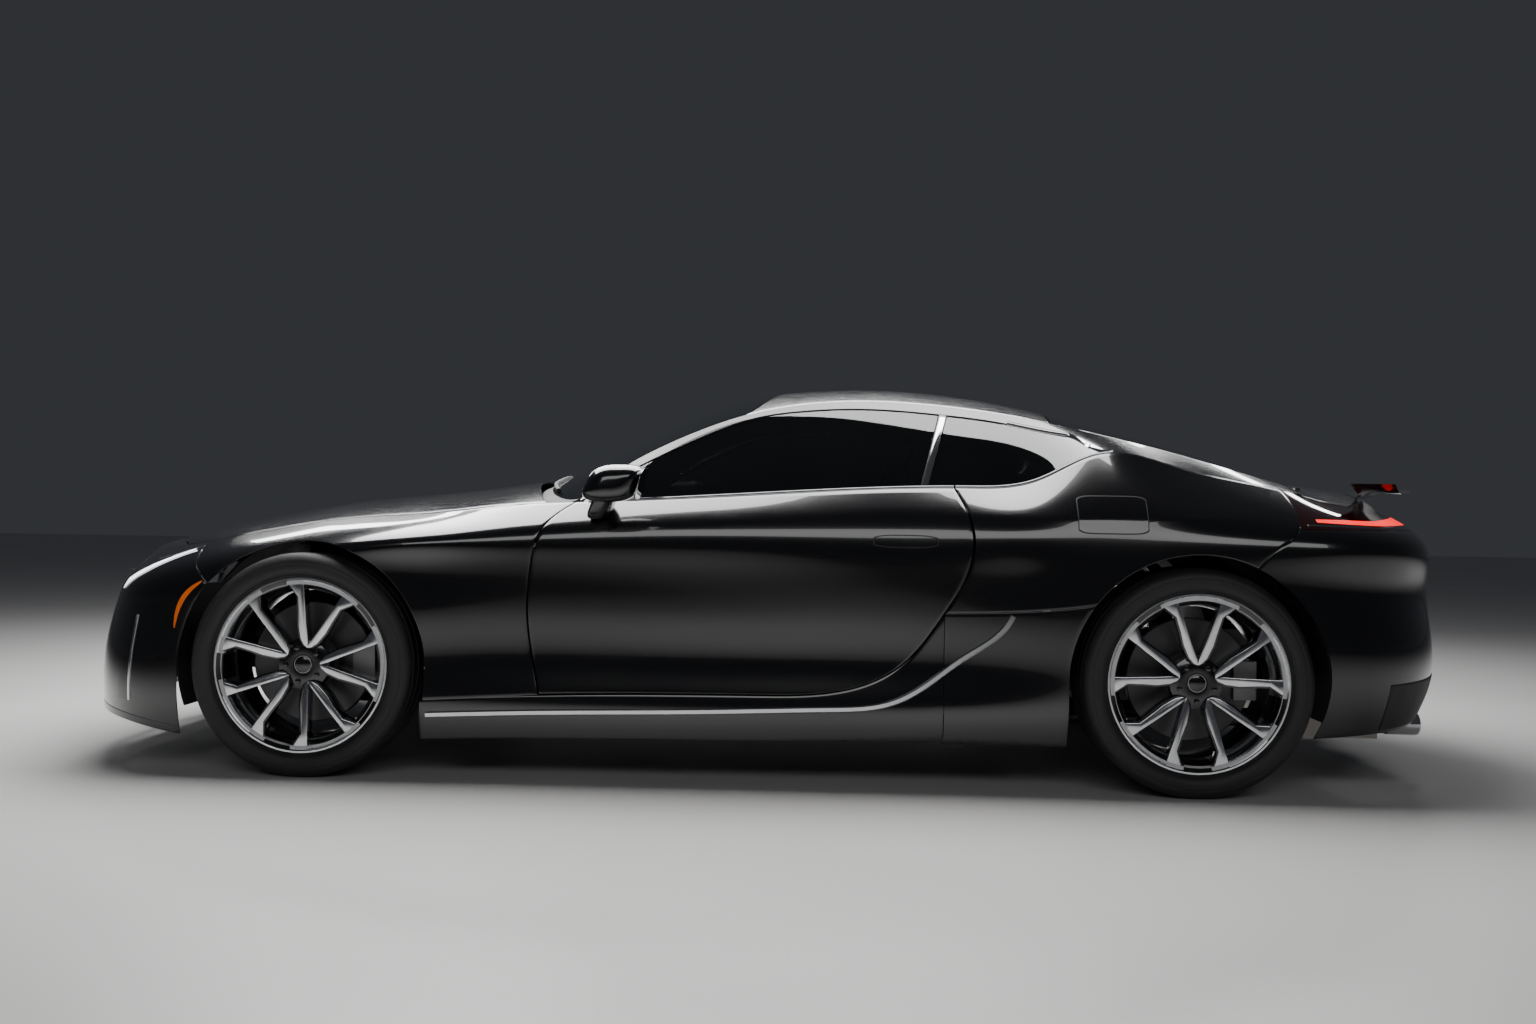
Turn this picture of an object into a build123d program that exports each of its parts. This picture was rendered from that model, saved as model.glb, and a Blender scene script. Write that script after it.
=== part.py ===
from build123d import *
import bisect
import functools
import math
import os

import numpy as np

os.makedirs("parts", exist_ok=True)

# A two-door grand touring coupe. Millimetres: +X rearwards, +Y to the car's right, +Z up,
# the origin on the ground halfway along and across the car.

# ---------------------------------------------------------------- driving dimensions
LENGTH = 4770.0
WIDTH = 1920.0
ROOF_HEIGHT = 1351.0
WHEELBASE = 2870.0
FRONT_OVERHANG = 920.0
FRONT_TRACK = 1630.0
REAR_TRACK = 1630.0

# Seams and gaps
SHOULDER_LEVEL = 970.0    # where the glasshouse starts
SEAM = 0.8            # between fixed panels
SEAT = 0.3            # between a piece and what carries it
DOOR_GAP = 9.0        # round a door's skin
LID_GAP = 7.0         # round the bonnet and the boot lid
SWING_GAP = 6.0       # least room for a moving piece
PIN_PLAY = 0.05       # radial clearance of a running pin

# Wall thicknesses
SKIN = 18.0
DOOR_DEPTH = 110.0
FLANGE = 6.0
MITRE = 16.0          # how far a skin's inner face stops short at a folded edge
LID_DEPTH = 24.0
GLASS = 5.0
LINER = 6.0

# What others fasten to: the towing eye's thread, the plate's screws and the jacking points
JACK_FRONT, JACK_REAR, JACK_Y = -900.0, 650.0, 800.0
JACK_PAD, JACK_DROP = 80.0, 10.0
TOW_Y, TOW_Z, TOW_RADIUS, TOW_DEPTH = 375.0, 306.0, 9.0, 60.0
PLATE_Z, PLATE_SPACING_Y, PLATE_SPACING_Z, PLATE_HOLE = 642.0, 178.0, 121.0, 3.5

# Exhaust tips
TIP_Y = 420.0
TIP_Z = 178.0
TIP_RADIUS = 36.0

# Wheels
FRONT_TYRE_RADIUS = 364.5
REAR_TYRE_RADIUS = 363.0
FRONT_TYRE_WIDTH = 245.0
REAR_TYRE_WIDTH = 275.0
RIM_RADIUS = 284.0
BEAD_RADIUS = 266.0
BARREL_WALL = 9.0
RIM_INSET = 25.0      # how far a rim's bead lies inside its tyre's wall
ARCH_RADIUS = 405.0
LINER_RADIUS = 425.0
HUB_RADIUS = 78.0
SPINDLE_RADIUS = 22.0
DISC_RADIUS = 200.0
DISC_BACK, DISC_FACE = -36.0, -6.0    # where the brake disc lies across its wheel's middle plane
KINGPIN_OFFSET = 62.0
KINGPIN_RADIUS = 14.0

X_FRONT = -LENGTH / 2
X_REAR = LENGTH / 2
X_AXLE_F = X_FRONT + FRONT_OVERHANG
X_AXLE_R = X_AXLE_F + WHEELBASE
HALF = WIDTH / 2


def fore(offset):
    """A station measured from the front axle."""
    return X_AXLE_F + offset


def aft(offset):
    """A station measured from the rear axle."""
    return X_AXLE_R + offset


def mid(share):
    """A station between the axles, 0 at the front one and 1 at the rear one."""
    return X_AXLE_F + share * WHEELBASE


def risen(share):
    """A height above the shoulder, 0 at its level and 1 at the roof's peak."""
    return SHOULDER_LEVEL + share * (ROOF_HEIGHT - SHOULDER_LEVEL)


# ---------------------------------------------------------------- curves
def natural(knots):
    """The natural cubic spline through (place, value) knots, straight past its ends."""
    places = [float(k[0]) for k in knots]
    values = [float(k[1]) for k in knots]
    last = len(places) - 1
    steps = [b - a for a, b in zip(places, places[1:])]
    slopes = [(b - a) / h for a, b, h in zip(values, values[1:], steps)]
    bend, share, load = [0.0] * (last + 1), [0.0] * (last + 1), [0.0] * (last + 1)
    for i in range(1, last):
        pivot = 2 * (steps[i - 1] + steps[i]) - steps[i - 1] * share[i - 1]
        share[i] = steps[i] / pivot
        load[i] = (6 * (slopes[i] - slopes[i - 1]) - steps[i - 1] * load[i - 1]) / pivot
    for i in range(last - 1, 0, -1):
        bend[i] = load[i] - share[i] * bend[i + 1]

    def value(place):
        i = min(max(bisect.bisect_left(places, place) - 1, 0), last - 1)
        h, b = steps[i], place - places[i]
        if b < 0:
            return values[0] + (slopes[0] - bend[1] * h / 6) * b
        if b > h:
            return values[last] + (slopes[i] + bend[i] * h / 6) * (b - h)
        a = h - b
        return (
            (bend[i] * a**3 + bend[i + 1] * b**3) / (6 * h)
            + (values[i] / h - bend[i] * h / 6) * a
            + (values[i + 1] / h - bend[i + 1] * h / 6) * b
        )

    return value


def curve(*points):
    """A smooth curve through points, run from 0 to 1 by its length."""
    points = [np.array(p, float) for p in points]
    runs = [0.0]
    for a, b in zip(points, points[1:]):
        runs.append(runs[-1] + float(np.linalg.norm(b - a)))
    axes = [natural([(r / runs[-1], p[k]) for r, p in zip(runs, points)]) for k in range(len(points[0]))]
    return lambda t: np.array([axis(t) for axis in axes])


def coons(low, high, start, end):
    """The patch between four curves: low and high run from start to end."""

    def at(u, v):
        corners = (
            (1 - u) * (1 - v) * low(0) + u * (1 - v) * low(1) + (1 - u) * v * high(0) + u * v * high(1)
        )
        return (1 - v) * low(u) + v * high(u) + (1 - u) * start(v) + u * end(v) - corners

    return at


# ---------------------------------------------------------------- the body's lines
# The nose and the tail are rounded in plan. A line's station runs straight along the flank
# and then goes on, at the same pace, round the nose or the tail to the centre plane.
NOSE_CAP = 600.0
TAIL_CAP = 650.0
NOSE_ROUND = 2.5
TAIL_ROUND = 2.3
X_NOSE_CAP = X_FRONT + NOSE_CAP
X_TAIL_CAP = X_REAR - TAIL_CAP
S_NOSE = X_NOSE_CAP - NOSE_CAP * math.pi / 2
S_TAIL = X_TAIL_CAP + TAIL_CAP * math.pi / 2


def nose(angle):
    """The station at a plan angle round the nose, 0 on the centre plane."""
    return S_NOSE + (X_NOSE_CAP - S_NOSE) * angle / 90


def tail(angle):
    """The station at a plan angle round the tail, 0 on the centre plane."""
    return S_TAIL - (S_TAIL - X_TAIL_CAP) * angle / 90


def rounding(angle, power):
    """A rounded corner's shares of its length and width at a plan angle."""
    c, s = math.cos(angle), math.sin(angle)
    radius = (abs(c) ** power + abs(s) ** power) ** (-1 / power)
    return radius * c, radius * s


class Line:
    """One line round half the car: its inset from the full half width, and its height."""

    def __init__(self, nose_back, tail_back, inset, height):
        self.nose_back, self.tail_back = nose_back, tail_back
        self.inset, self.height = natural(inset), natural(height)

    def at(self, station):
        half = HALF - self.inset(station)
        x = station
        if station < X_NOSE_CAP:
            along, across = rounding((station - S_NOSE) / NOSE_CAP, NOSE_ROUND)
            x, half = X_NOSE_CAP - (NOSE_CAP - self.nose_back) * along, half * across
        if station > X_TAIL_CAP:
            along, across = rounding((S_TAIL - station) / TAIL_CAP, TAIL_ROUND)
            x, half = X_TAIL_CAP + (TAIL_CAP - self.tail_back) * along, half * across
        return np.array([x, half, self.height(station)])


BOTTOM = Line(
    5,
    65,
    [(nose(0), 60), (fore(-320), 60), (fore(0), 60), (mid(0.3), 50), (mid(0.8), 50), (aft(320), 60), (tail(0), 60)],
    [(nose(0), 160), (nose(60), 165), (fore(-400), 130), (fore(400), 130), (mid(0.5), 150), (mid(0.8), 156),
     (aft(-400), 150), (aft(345), 190), (tail(60), 205), (tail(0), 205)],
)
ROCKER = Line(
    12,
    25,
    [(nose(0), 35), (fore(-320), 32), (fore(400), 32), (mid(0.5), 27), (mid(0.8), 22), (aft(0), 15),
     (aft(345), 25), (tail(0), 30)],
    [(nose(0), 262), (fore(-400), 250), (fore(400), 240), (mid(0.5), 248), (mid(0.8), 258), (aft(345), 292),
     (tail(0), 300)],
)
LOWER = Line(
    22,
    5,
    [(nose(0), 30), (fore(-320), 30), (fore(0), 30), (fore(400), 46), (mid(0.35), 52), (mid(0.6), 50),
     (mid(0.8), 30), (aft(-300), 10), (aft(200), 4), (tail(0), 18)],
    [(nose(0), 400), (fore(0), 395), (mid(0.5), 385), (aft(0), 395), (tail(0), 400)],
)
MIDDLE = Line(
    68,
    15,
    [(nose(0), 30), (fore(-320), 32), (fore(0), 22), (fore(400), 38), (mid(0.35), 46), (mid(0.6), 42),
     (mid(0.8), 24), (aft(-300), 5), (aft(0), 0), (aft(320), 8), (tail(0), 16)],
    [(nose(0), 545), (fore(0), 560), (mid(0.5), 540), (aft(0), 545), (tail(0), 520)],
)
UPPER = Line(
    106,
    24,
    [(nose(0), 40), (fore(-320), 52), (fore(0), 34), (fore(400), 38), (mid(0.35), 42), (mid(0.6), 36),
     (mid(0.8), 26), (aft(-300), 12), (aft(0), 6), (aft(320), 20), (tail(0), 24)],
    [(nose(0), 645), (nose(70), 640), (fore(0), 700), (mid(0.5), 700), (aft(0), 705), (tail(0), 660)],
)
SHOULDER = Line(
    128,
    76,
    [(nose(0), 90), (fore(-320), 108), (fore(0), 76), (fore(400), 60), (mid(0.26), 56), (mid(0.5), 56),
     (mid(0.75), 60), (aft(-300), 42), (aft(0), 38), (aft(320), 58), (tail(0), 60)],
    [(nose(0), 700), (nose(60), 672), (fore(-320), 712), (fore(0), 762), (fore(400), 800), (mid(0.26), 815),
     (mid(0.5), 850), (mid(0.75), 872), (aft(0), 872), (aft(320), 866), (tail(0), 850)],
)
EDGE = Line(
    145,
    130,
    [(nose(0), 290), (fore(-320), 290), (fore(0), 285), (fore(400), 255), (mid(0.2), 205), (mid(0.27), 160),
     (mid(0.35), 138), (mid(0.5), 134), (mid(0.75), 150), (aft(-300), 200), (aft(0), 242), (aft(320), 290),
     (tail(0), 300)],
    [(nose(0), 748), (nose(60), 735), (fore(-320), 775), (fore(0), 832), (fore(400), 868), (mid(0.2), 888),
     (mid(0.31), 907), (mid(0.5), 937), (mid(0.75), risen(0.003)), (mid(0.83), risen(0.079)), (aft(-300), risen(0.302)),
     (aft(0), risen(0.197)), (aft(320), risen(0.039)), (aft(460), risen(-0.039)), (tail(0), risen(-0.079))],
)
LINES = [BOTTOM, ROCKER, LOWER, MIDDLE, UPPER, SHOULDER, EDGE]


def flank(station, height, side=-1):
    """The point of the body's side at a station and a height; side is -1 for the left."""
    points = [line.at(station) for line in LINES]
    x = natural([(p[2], p[0]) for p in points])(height)
    y = natural([(p[2], p[1]) for p in points])(height)
    return np.array([x, side * y, height])


# ---------------------------------------------------------------- the roof's lines


CENTRE_ROOF = natural(
    [(mid(0.2335), risen(0.018)), (mid(0.291), risen(0.234)), (mid(0.3645), risen(0.499)),
     (mid(0.4185), risen(0.703)), (mid(0.494), risen(0.906)), (mid(0.57), risen(0.982)), (mid(0.6453), risen(1)),
     (mid(0.7206), risen(0.971)), (mid(0.796), risen(0.898)), (mid(0.882), risen(0.759)),
     (aft(-62), risen(0.580)), (aft(215), risen(0.367)), (aft(445), risen(0.150))]
)
RAIL_HALF = natural(
    [(mid(0.2335), HALF - 100), (mid(0.307), HALF - 190), (mid(0.389), HALF - 258), (mid(0.487), HALF - 318),
     (mid(0.605), HALF - 352), (mid(0.729), HALF - 362), (mid(0.87), HALF - 366), (aft(0), HALF - 385),
     (aft(445), HALF - 420)]
)
RAIL_HEIGHT = natural(
    [(mid(0.2335), risen(-0.446)), (mid(0.307), risen(-0.126)), (mid(0.343), risen(0.089)),
     (mid(0.389), risen(0.304)), (mid(0.442), risen(0.493)), (mid(0.487), risen(0.619)), (mid(0.556), risen(0.735)),
     (mid(0.605), risen(0.772)), (mid(0.654), risen(0.777)), (mid(0.729), risen(0.740)), (mid(0.806), risen(0.667)),
     (mid(0.87), risen(0.577)), (aft(-100), risen(0.420)), (aft(215), risen(0.205)), (aft(445), risen(0.039))]
)
CENTRE_BONNET = natural(
    [(fore(-775), 748), (fore(-645), 783), (fore(-522), 813), (fore(-321), 858), (fore(-62), 903),
     (fore(324), 945), (fore(637), 988)]
)
CENTRE_DECK = natural([(aft(445), risen(0.1365)), (aft(552), risen(0.1155)), (aft(638), risen(0.084)),
                       (aft(792), risen(0.013)), (aft(850), risen(-0.039))])
CROWN = 0.7           # how much flatter the roof is than a parabola


def crown(share):
    """The roof's fall from its centre, from 0 there to 1 at the rail."""
    return (math.hypot(CROWN, share) - CROWN) / (math.hypot(CROWN, 1) - CROWN)


def roof(x, share):
    """The point of the roof at a station, share of the way from the centre to a rail."""
    top, edge = CENTRE_ROOF(x), RAIL_HEIGHT(x)
    return np.array([x, share * RAIL_HALF(x), top - (top - edge) * crown(share)])


def edge_at(x):
    """The point of the bonnet's or the deck's edge at a place along the car."""
    if nose(90) <= x <= tail(90):
        return EDGE.at(x)
    near, far = (nose(0), nose(90)) if x < 0 else (tail(90), tail(0))
    for _ in range(30):
        middle = (near + far) / 2
        if EDGE.at(middle)[0] < x:
            near = middle
        else:
            far = middle
    return EDGE.at((near + far) / 2)


def edge_half(x):
    """The half width there."""
    return edge_at(x)[1]


def top(x, y, centre):
    """The point of the bonnet or the deck over a place in plan."""
    _, half, low = edge_at(x)
    share = min(1.0, abs(y) / max(1.0, half))
    return np.array([x, y, low + (centre(x) - low) * (1 - share**2)])


def upper_side(x, share, side=-1):
    """The side above the belt: 0 on the belt, 1 on the roof rail."""
    belt = EDGE.at(x)
    rail = np.array([x, RAIL_HALF(x), RAIL_HEIGHT(x)])
    point = belt + (rail - belt) * share
    point[1] += 0.045 * (rail[2] - belt[2]) * math.sin(math.pi * share)
    return np.array([x, side * point[1], point[2]])


# ---------------------------------------------------------------- panels
HEART = np.array([0.0, 0.0, 500.0])    # a point that every skin faces away from


def spans(at):
    """The lengths of a patch along and across its middle."""
    def length(points):
        return sum(float(np.linalg.norm(b - a)) for a, b in zip(points, points[1:]))

    along = length([at(k / 12, 0.5) for k in range(13)])
    across = length([at(0.5, k / 12) for k in range(13)])
    return along, across


def panel(at, depth, gaps=(SEAM / 2,) * 4, bevel=(0, 0, 0, 0), fine=(16, 8), lift=0.0, under=None, fit=0.05):
    """A curved slab under the patch at(u, v): gaps trim its start, end, low and high edges,
    and bevel trims its inner face further. lift sinks its outer face below the patch.
    A patch given as under is the inner face as it is."""
    along, across = spans(at)

    def grid(at, trim, sink):
        u0, u1 = trim[0] / along, 1 - trim[1] / along
        v0, v1 = trim[2] / across, 1 - trim[3] / across
        points = np.array([
            [at(u0 + (u1 - u0) * i / fine[0], v0 + (v1 - v0) * j / fine[1]) for j in range(fine[1] + 1)]
            for i in range(fine[0] + 1)
        ])
        normals = np.cross(np.gradient(points, axis=0, edge_order=2), np.gradient(points, axis=1, edge_order=2))
        normals /= np.linalg.norm(normals, axis=2, keepdims=True)
        outwards = np.sign(np.sum(normals * (points - HEART), axis=2, keepdims=True))
        points -= outwards * normals * sink
        turned = outwards[fine[0] // 2, fine[1] // 2, 0] > 0
        return [[Vector(*point) for point in row] for row in (points if turned else points[::-1])]

    outer = Face.make_surface_from_array_of_points(grid(at, gaps, lift), tol=fit)
    trim = [g + b for g, b in zip(gaps, bevel)]
    inner = Face.make_surface_from_array_of_points(grid(under or at, trim, 0 if under else lift + depth), tol=fit)
    walls = [Face.make_surface_from_curves(a, b) for a, b in zip(outer.edges(), inner.edges())]
    return Solid(Shell([outer, inner, *walls]))


def side_patch(low, high, start, end, side=-1):
    """A patch of the flank between four curves of (station, height)."""
    plane = coons(low, high, start, end)
    return lambda u, v: flank(*plane(u, v), side)


def belt(start, end):
    """The belt, or the shut line above the wing, as a curve of (station, height)."""
    return lambda t: np.array([start + (end - start) * t, EDGE.height(start + (end - start) * t)])


def sill(start, end):
    """The body's bottom edge as a curve of (station, height)."""
    return lambda t: np.array([start + (end - start) * t, BOTTOM.height(start + (end - start) * t)])


def block(x0, x1, y0, y1, z0, z1):
    """A box between two corners."""
    return Box(x1 - x0, y1 - y0, z1 - z0).move(
        Location(((x0 + x1) / 2, (y0 + y1) / 2, (z0 + z1) / 2))
    )


def rod_y(x, z, radius, y0, y1):
    """A cylinder across the car."""
    return Cylinder(radius, abs(y1 - y0), rotation=(90, 0, 0)).move(Location((x, (y0 + y1) / 2, z)))


def rod_z(x, y, radius, z0, z1):
    """An upright cylinder."""
    return Cylinder(radius, abs(z1 - z0)).move(Location((x, y, (z0 + z1) / 2)))


def rod_x(y, z, radius, x0, x1):
    """A cylinder along the car."""
    return Cylinder(radius, abs(x1 - x0), rotation=(0, 90, 0)).move(Location(((x0 + x1) / 2, y, z)))


def swapped(shape):
    """The same piece on the other side of the car."""
    return mirror(shape, about=Plane.XZ)


def save(name, *solids):
    """Writes one node from one or more solids."""
    found = [s for shape in solids for s in shape.solids()]
    export_step(found[0] if len(found) == 1 else Compound(children=found), f"parts/{name}.step")


def save_pair(name, *solids):
    """Writes a left node and its mirror image on the right."""
    save(f"{name}_left", *solids)
    save(f"{name}_right", *[swapped(s) for s in solids])


# ---------------------------------------------------------------- outlines on the flank
def straight(start, end):
    """A straight line between two points."""
    start, end = np.array(start, float), np.array(end, float)
    return lambda t: start + (end - start) * t


def wrapped(plane):
    """A patch round the nose or the tail, both sides, from half of it."""
    return lambda u, v: flank(*plane(abs(2 * u - 1), v), -1 if u < 0.5 else 1)


def upright(station, low, high):
    """A straight edge up the skin at one station."""
    return lambda t: np.array([station, low + (high - low) * t])


def along(bend, start, end):
    """The stretch of a curve between two of its places."""
    return lambda t: bend(start + (end - start) * t)


def places(*points):
    """Where a curve's own points lie on it, from 0 to 1."""
    runs = [0.0]
    for a, b in zip(points, points[1:]):
        runs.append(runs[-1] + math.dist(a, b))
    return [run / runs[-1] for run in runs]


DOOR_START = (mid(0.272), 286)
DOOR_BEND = (mid(0.628), 333)
QUARTER_FOOT = (mid(0.7226), 570)
DOOR_TOP_FRONT = (mid(0.303), EDGE.height(mid(0.303)))
DOOR_TOP_REAR = (mid(0.735), EDGE.height(mid(0.735)))
OUTLINE = [(fore(330), 260), DOOR_START, (mid(0.519), 300), DOOR_BEND, (mid(0.679), 410), QUARTER_FOOT,
           (mid(0.7453), 681), (mid(0.754), 800), (mid(0.748), 890), DOOR_TOP_REAR]
outline = curve(*OUTLINE)
AT_START, AT_BEND, AT_FOOT = (places(*OUTLINE)[k] for k in (1, 3, 5))
door_front = curve(DOOR_START, (mid(0.257), 523), (mid(0.2596), 695), (mid(0.276), 841), DOOR_TOP_FRONT)
QUARTER_LOW = [QUARTER_FOOT, (aft(-326), 604), (aft(-100), 650), (aft(160), 700)]
quarter_low = curve(*QUARTER_LOW)
AT_ARCH = places(*QUARTER_LOW)[1]
TAIL_LAMP_LOW = 853.0
REAR_CUT = [(aft(330), 190), (aft(190), 480), (aft(160), 700), (aft(235), 790), (aft(310), TAIL_LAMP_LOW),
            (aft(332), EDGE.height(aft(332)))]
rear_cut = curve(*REAR_CUT)
AT_HAUNCH, AT_TAIL_LAMP = (places(*REAR_CUT)[k] for k in (2, 4))

LAMP_INNER, LAMP_OUTER = nose(34), nose(79)
bumper_top = curve((nose(0), 530), (LAMP_INNER, 532), (nose(46), 552), (nose(58), 636), (nose(68), 695),
                   (LAMP_OUTER, 735))
AT_LAMP = places((nose(0), 530), (LAMP_INNER, 532), (nose(46), 552), (nose(58), 636), (nose(68), 695),
                 (LAMP_OUTER, 735))[1]
BONNET_LIP = 28.0      # how far the bonnet's front edge lies behind the nose line
BONNET_CORNER = nose(66)
TAIL_LAMP_INNER, TAIL_LAMP_OUTER = tail(38), aft(340)
LID_LIP = 22.0         # how far the boot lid's upper face ends ahead of the tail line
LID_CORNER = tail(62)
x_bonnet_tip = X_FRONT + EDGE.nose_back + BONNET_LIP
x_lid_tip = X_REAR - EDGE.tail_back - LID_LIP


def bonnet_front(share):
    """The plan place of the bonnet's front edge, share of the way to its corner."""
    x = x_bonnet_tip + (EDGE.at(BONNET_CORNER)[0] - x_bonnet_tip) * share**2
    return x, share * edge_half(x)


def lid_rear(share):
    """The plan place of the boot lid's rear edge, share of the way to its corner."""
    x = x_lid_tip - (x_lid_tip - EDGE.at(LID_CORNER)[0]) * share**2
    return x, share * edge_half(x)


@functools.cache
def brow(station, low):
    """The path up the left side's skin from a height, over the edge line to the lid."""
    knee = EDGE.at(station)
    points = [flank(station, low + (knee[2] - low) * k / 8) for k in range(9)]
    if station < 0:
        share = (station - S_NOSE) / (BONNET_CORNER - S_NOSE)
        lid, centre = bonnet_front, CENTRE_BONNET
    else:
        share = (S_TAIL - station) / (S_TAIL - LID_CORNER)
        lid, centre = lid_rear, CENTRE_DECK
    if share < 1:
        goal = lid(share)
        for k in range(1, 9):
            x, y = (knee[axis] + (goal[axis] - knee[axis]) * k / 8 for axis in (0, 1))
            points.append(np.array([x, -y, top(x, y, centre)[2]]))
    runs = places(*points)
    return lambda v: np.array([np.interp(v, runs, [point[axis] for point in points]) for axis in range(3)])


# ---------------------------------------------------------------- fixed skin
front_arch = rod_y(X_AXLE_F, FRONT_TYRE_RADIUS, ARCH_RADIUS, -HALF - 50, -HALF + 500)
rear_arch = rod_y(X_AXLE_R, REAR_TYRE_RADIUS, ARCH_RADIUS, -HALF - 50, -HALF + 500)

fender = panel(
    side_patch(
        curve((fore(-400), 430), (fore(0), 300), (fore(330), 262), DOOR_START),
        belt(fore(-400), mid(0.303)),
        upright(fore(-400), 430, EDGE.height(fore(-400))),
        door_front,
    ),
    SKIN, (SEAM / 2, DOOR_GAP, SEAM / 2, 0), fine=(40, 14),
) - front_arch
save_pair("fender", fender)

door_skin = side_patch(
    along(outline, AT_START, AT_BEND), belt(DOOR_TOP_FRONT[0], DOOR_TOP_REAR[0]), door_front,
    along(outline, AT_BEND, 1),
)
door_room = panel(door_skin, 3 * SKIN, (0, -DOOR_GAP, -DOOR_GAP, 0), lift=-SKIN, fine=(30, 14))
skirt_patch = side_patch(
    sill(fore(330), QUARTER_FOOT[0]), along(outline, 0, AT_FOOT),
    upright(fore(330), BOTTOM.height(fore(330)), 260),
    upright(QUARTER_FOOT[0], BOTTOM.height(QUARTER_FOOT[0]), 570),
)
skirt_front = panel(skirt_patch, SKIN, (0, SEAM / 2, 0, DOOR_GAP), fine=(40, 8)) - front_arch
skirt_rear = panel(
    side_patch(
        sill(QUARTER_FOOT[0], aft(-326)),
        along(quarter_low, 0, AT_ARCH),
        upright(QUARTER_FOOT[0], BOTTOM.height(QUARTER_FOOT[0]), 570),
        upright(aft(-326), BOTTOM.height(aft(-326)), 604),
    ),
    SKIN, fine=(16, 12),
) - rear_arch - door_room
save("side_skirts", skirt_front, skirt_rear, swapped(skirt_front), swapped(skirt_rear))

quarter = panel(
    side_patch(
        quarter_low,
        belt(DOOR_TOP_REAR[0], aft(332)),
        along(outline, AT_FOOT, 1),
        along(rear_cut, AT_HAUNCH, 1),
    ),
    SKIN, (DOOR_GAP, SEAM / 2, SEAM / 2, SEAM), bevel=(0, 0, 0, MITRE), fine=(40, 16),
) - rear_arch

# The fuel flap is on the left. Its pin stands in a cup behind the skin.
FLAP_START, FLAP_END, FLAP_LOW, FLAP_HIGH = aft(-383), aft(-159), 832, 948
FLAP_SKIN, FLAP_GAP, FLAP_AXIS_BACK, FLAP_AXIS_DEEP, FLAP_PIN = 8.0, 9.0, 30.0, 15.0, 4.0


def flap_skin(u, v):
    return flank(FLAP_START + (FLAP_END - FLAP_START) * u, FLAP_LOW + (FLAP_HIGH - FLAP_LOW) * v)


flap_side = Vector(*(flap_skin(0.55, 0.5) - flap_skin(0.05, 0.5))).normalized()
flap_up = Vector(*(flap_skin(0.3, 0.9) - flap_skin(0.3, 0.1))).normalized()
flap_out = flap_side.cross(flap_up).normalized()
flap_up = flap_out.cross(flap_side).normalized()
flap_axis = Vector(*flap_skin(0, 0.5)) + flap_side * FLAP_AXIS_BACK - flap_out * FLAP_AXIS_DEEP
flap_plane = Plane(origin=flap_axis, x_dir=flap_side, z_dir=flap_up)


def flap_block(x0, x1, out0, out1, z0, z1):
    """A box in the flap's own axes: along the skin, outwards from the pin, and up."""
    return flap_plane * block(x0, x1, -out1, -out0, z0, z1)


flap_hole = panel(flap_skin, SKIN + 12, (-FLAP_GAP,) * 4, lift=-6)
cup = flap_block(-50, 215, -70, 4, -78, 78) - flap_block(-44, 209, -64, 20, -72, 72)
pin_post = flap_block(-5, 5, -66, 0, -26, -14) + flap_block(-5, 5, -66, 0, 14, 26)
quarter_left = quarter - flap_hole + (cup & flap_block(-60, 230, -80, 2, -90, 90)) + pin_post
quarter_left += flap_plane * Cylinder(FLAP_PIN, 50)
save("quarter_panel_left", quarter_left)
save("quarter_panel_right", swapped(quarter))
flap = panel(flap_skin, FLAP_SKIN, (0, 0, 0, 0))
flap += flap_plane * Cylinder(FLAP_PIN + 4, 26)
flap += flap_block(0, 12, 0, FLAP_AXIS_DEEP - 3, -13, 13)
flap -= flap_plane * Cylinder(FLAP_PIN + PIN_PLAY, 60)
save("fuel_flap", flap)

bumper_patch = wrapped(coons(
    sill(S_NOSE, LAMP_OUTER), bumper_top,
    upright(S_NOSE, BOTTOM.height(S_NOSE), 530), upright(LAMP_OUTER, BOTTOM.height(LAMP_OUTER), 735),
))
bumper_skin = panel(bumper_patch, SKIN, (SEAM / 2, SEAM / 2, 0, SEAM / 2), fine=(60, 12))


def nose_patch(u, v):
    """The nose between the lamps, from the bumper up to the bonnet's edge."""
    a = 2 * u - 1
    return brow(*map(float, bumper_top(abs(a) * AT_LAMP)))(v) * np.array([1, 1 if a < 0 else -1, 1])


nose_cap = panel(nose_patch, SKIN, (SEAM / 2, SEAM / 2, SEAM / 2, LID_GAP), fine=(20, 10), fit=0.3)


def mouth(inset, x0, x1):
    """The grille's hourglass opening as a solid, inset from its edge."""
    outline = [(0.500, 205), (0.420, 330), (0.300, 455), (0.360, 560), (0.400, 640)]
    right = [(HALF * share - inset, z) for share, z in outline]
    right[0], right[-1] = (right[0][0], 205 + inset), (right[-1][0], 640 - inset)
    plan = right + [(-y, z) for y, z in reversed(right)]
    face = Plane(origin=(x0, 0, 0), x_dir=(0, 1, 0), z_dir=(1, 0, 0)) * Polyline(*plan, close=True)
    return extrude(make_face(face), x1 - x0, dir=(1, 0, 0))


opening = mouth(0, X_FRONT - 50, X_FRONT + 400)
save("front_bumper", bumper_skin - opening, nose_cap - opening)


def headlamp_patch(u, v):
    """One headlamp's cover, from the bumper up to the wing and the bonnet."""
    return brow(*map(float, bumper_top(AT_LAMP + u * (1 - AT_LAMP))))(v)


headlamp = panel(headlamp_patch, 60, (SEAM / 2, 4, SEAM, LID_GAP), fine=(30, 8), bevel=(14, 20, 26, 4), fit=0.1)
save("headlamps", headlamp, swapped(headlamp))

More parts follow.
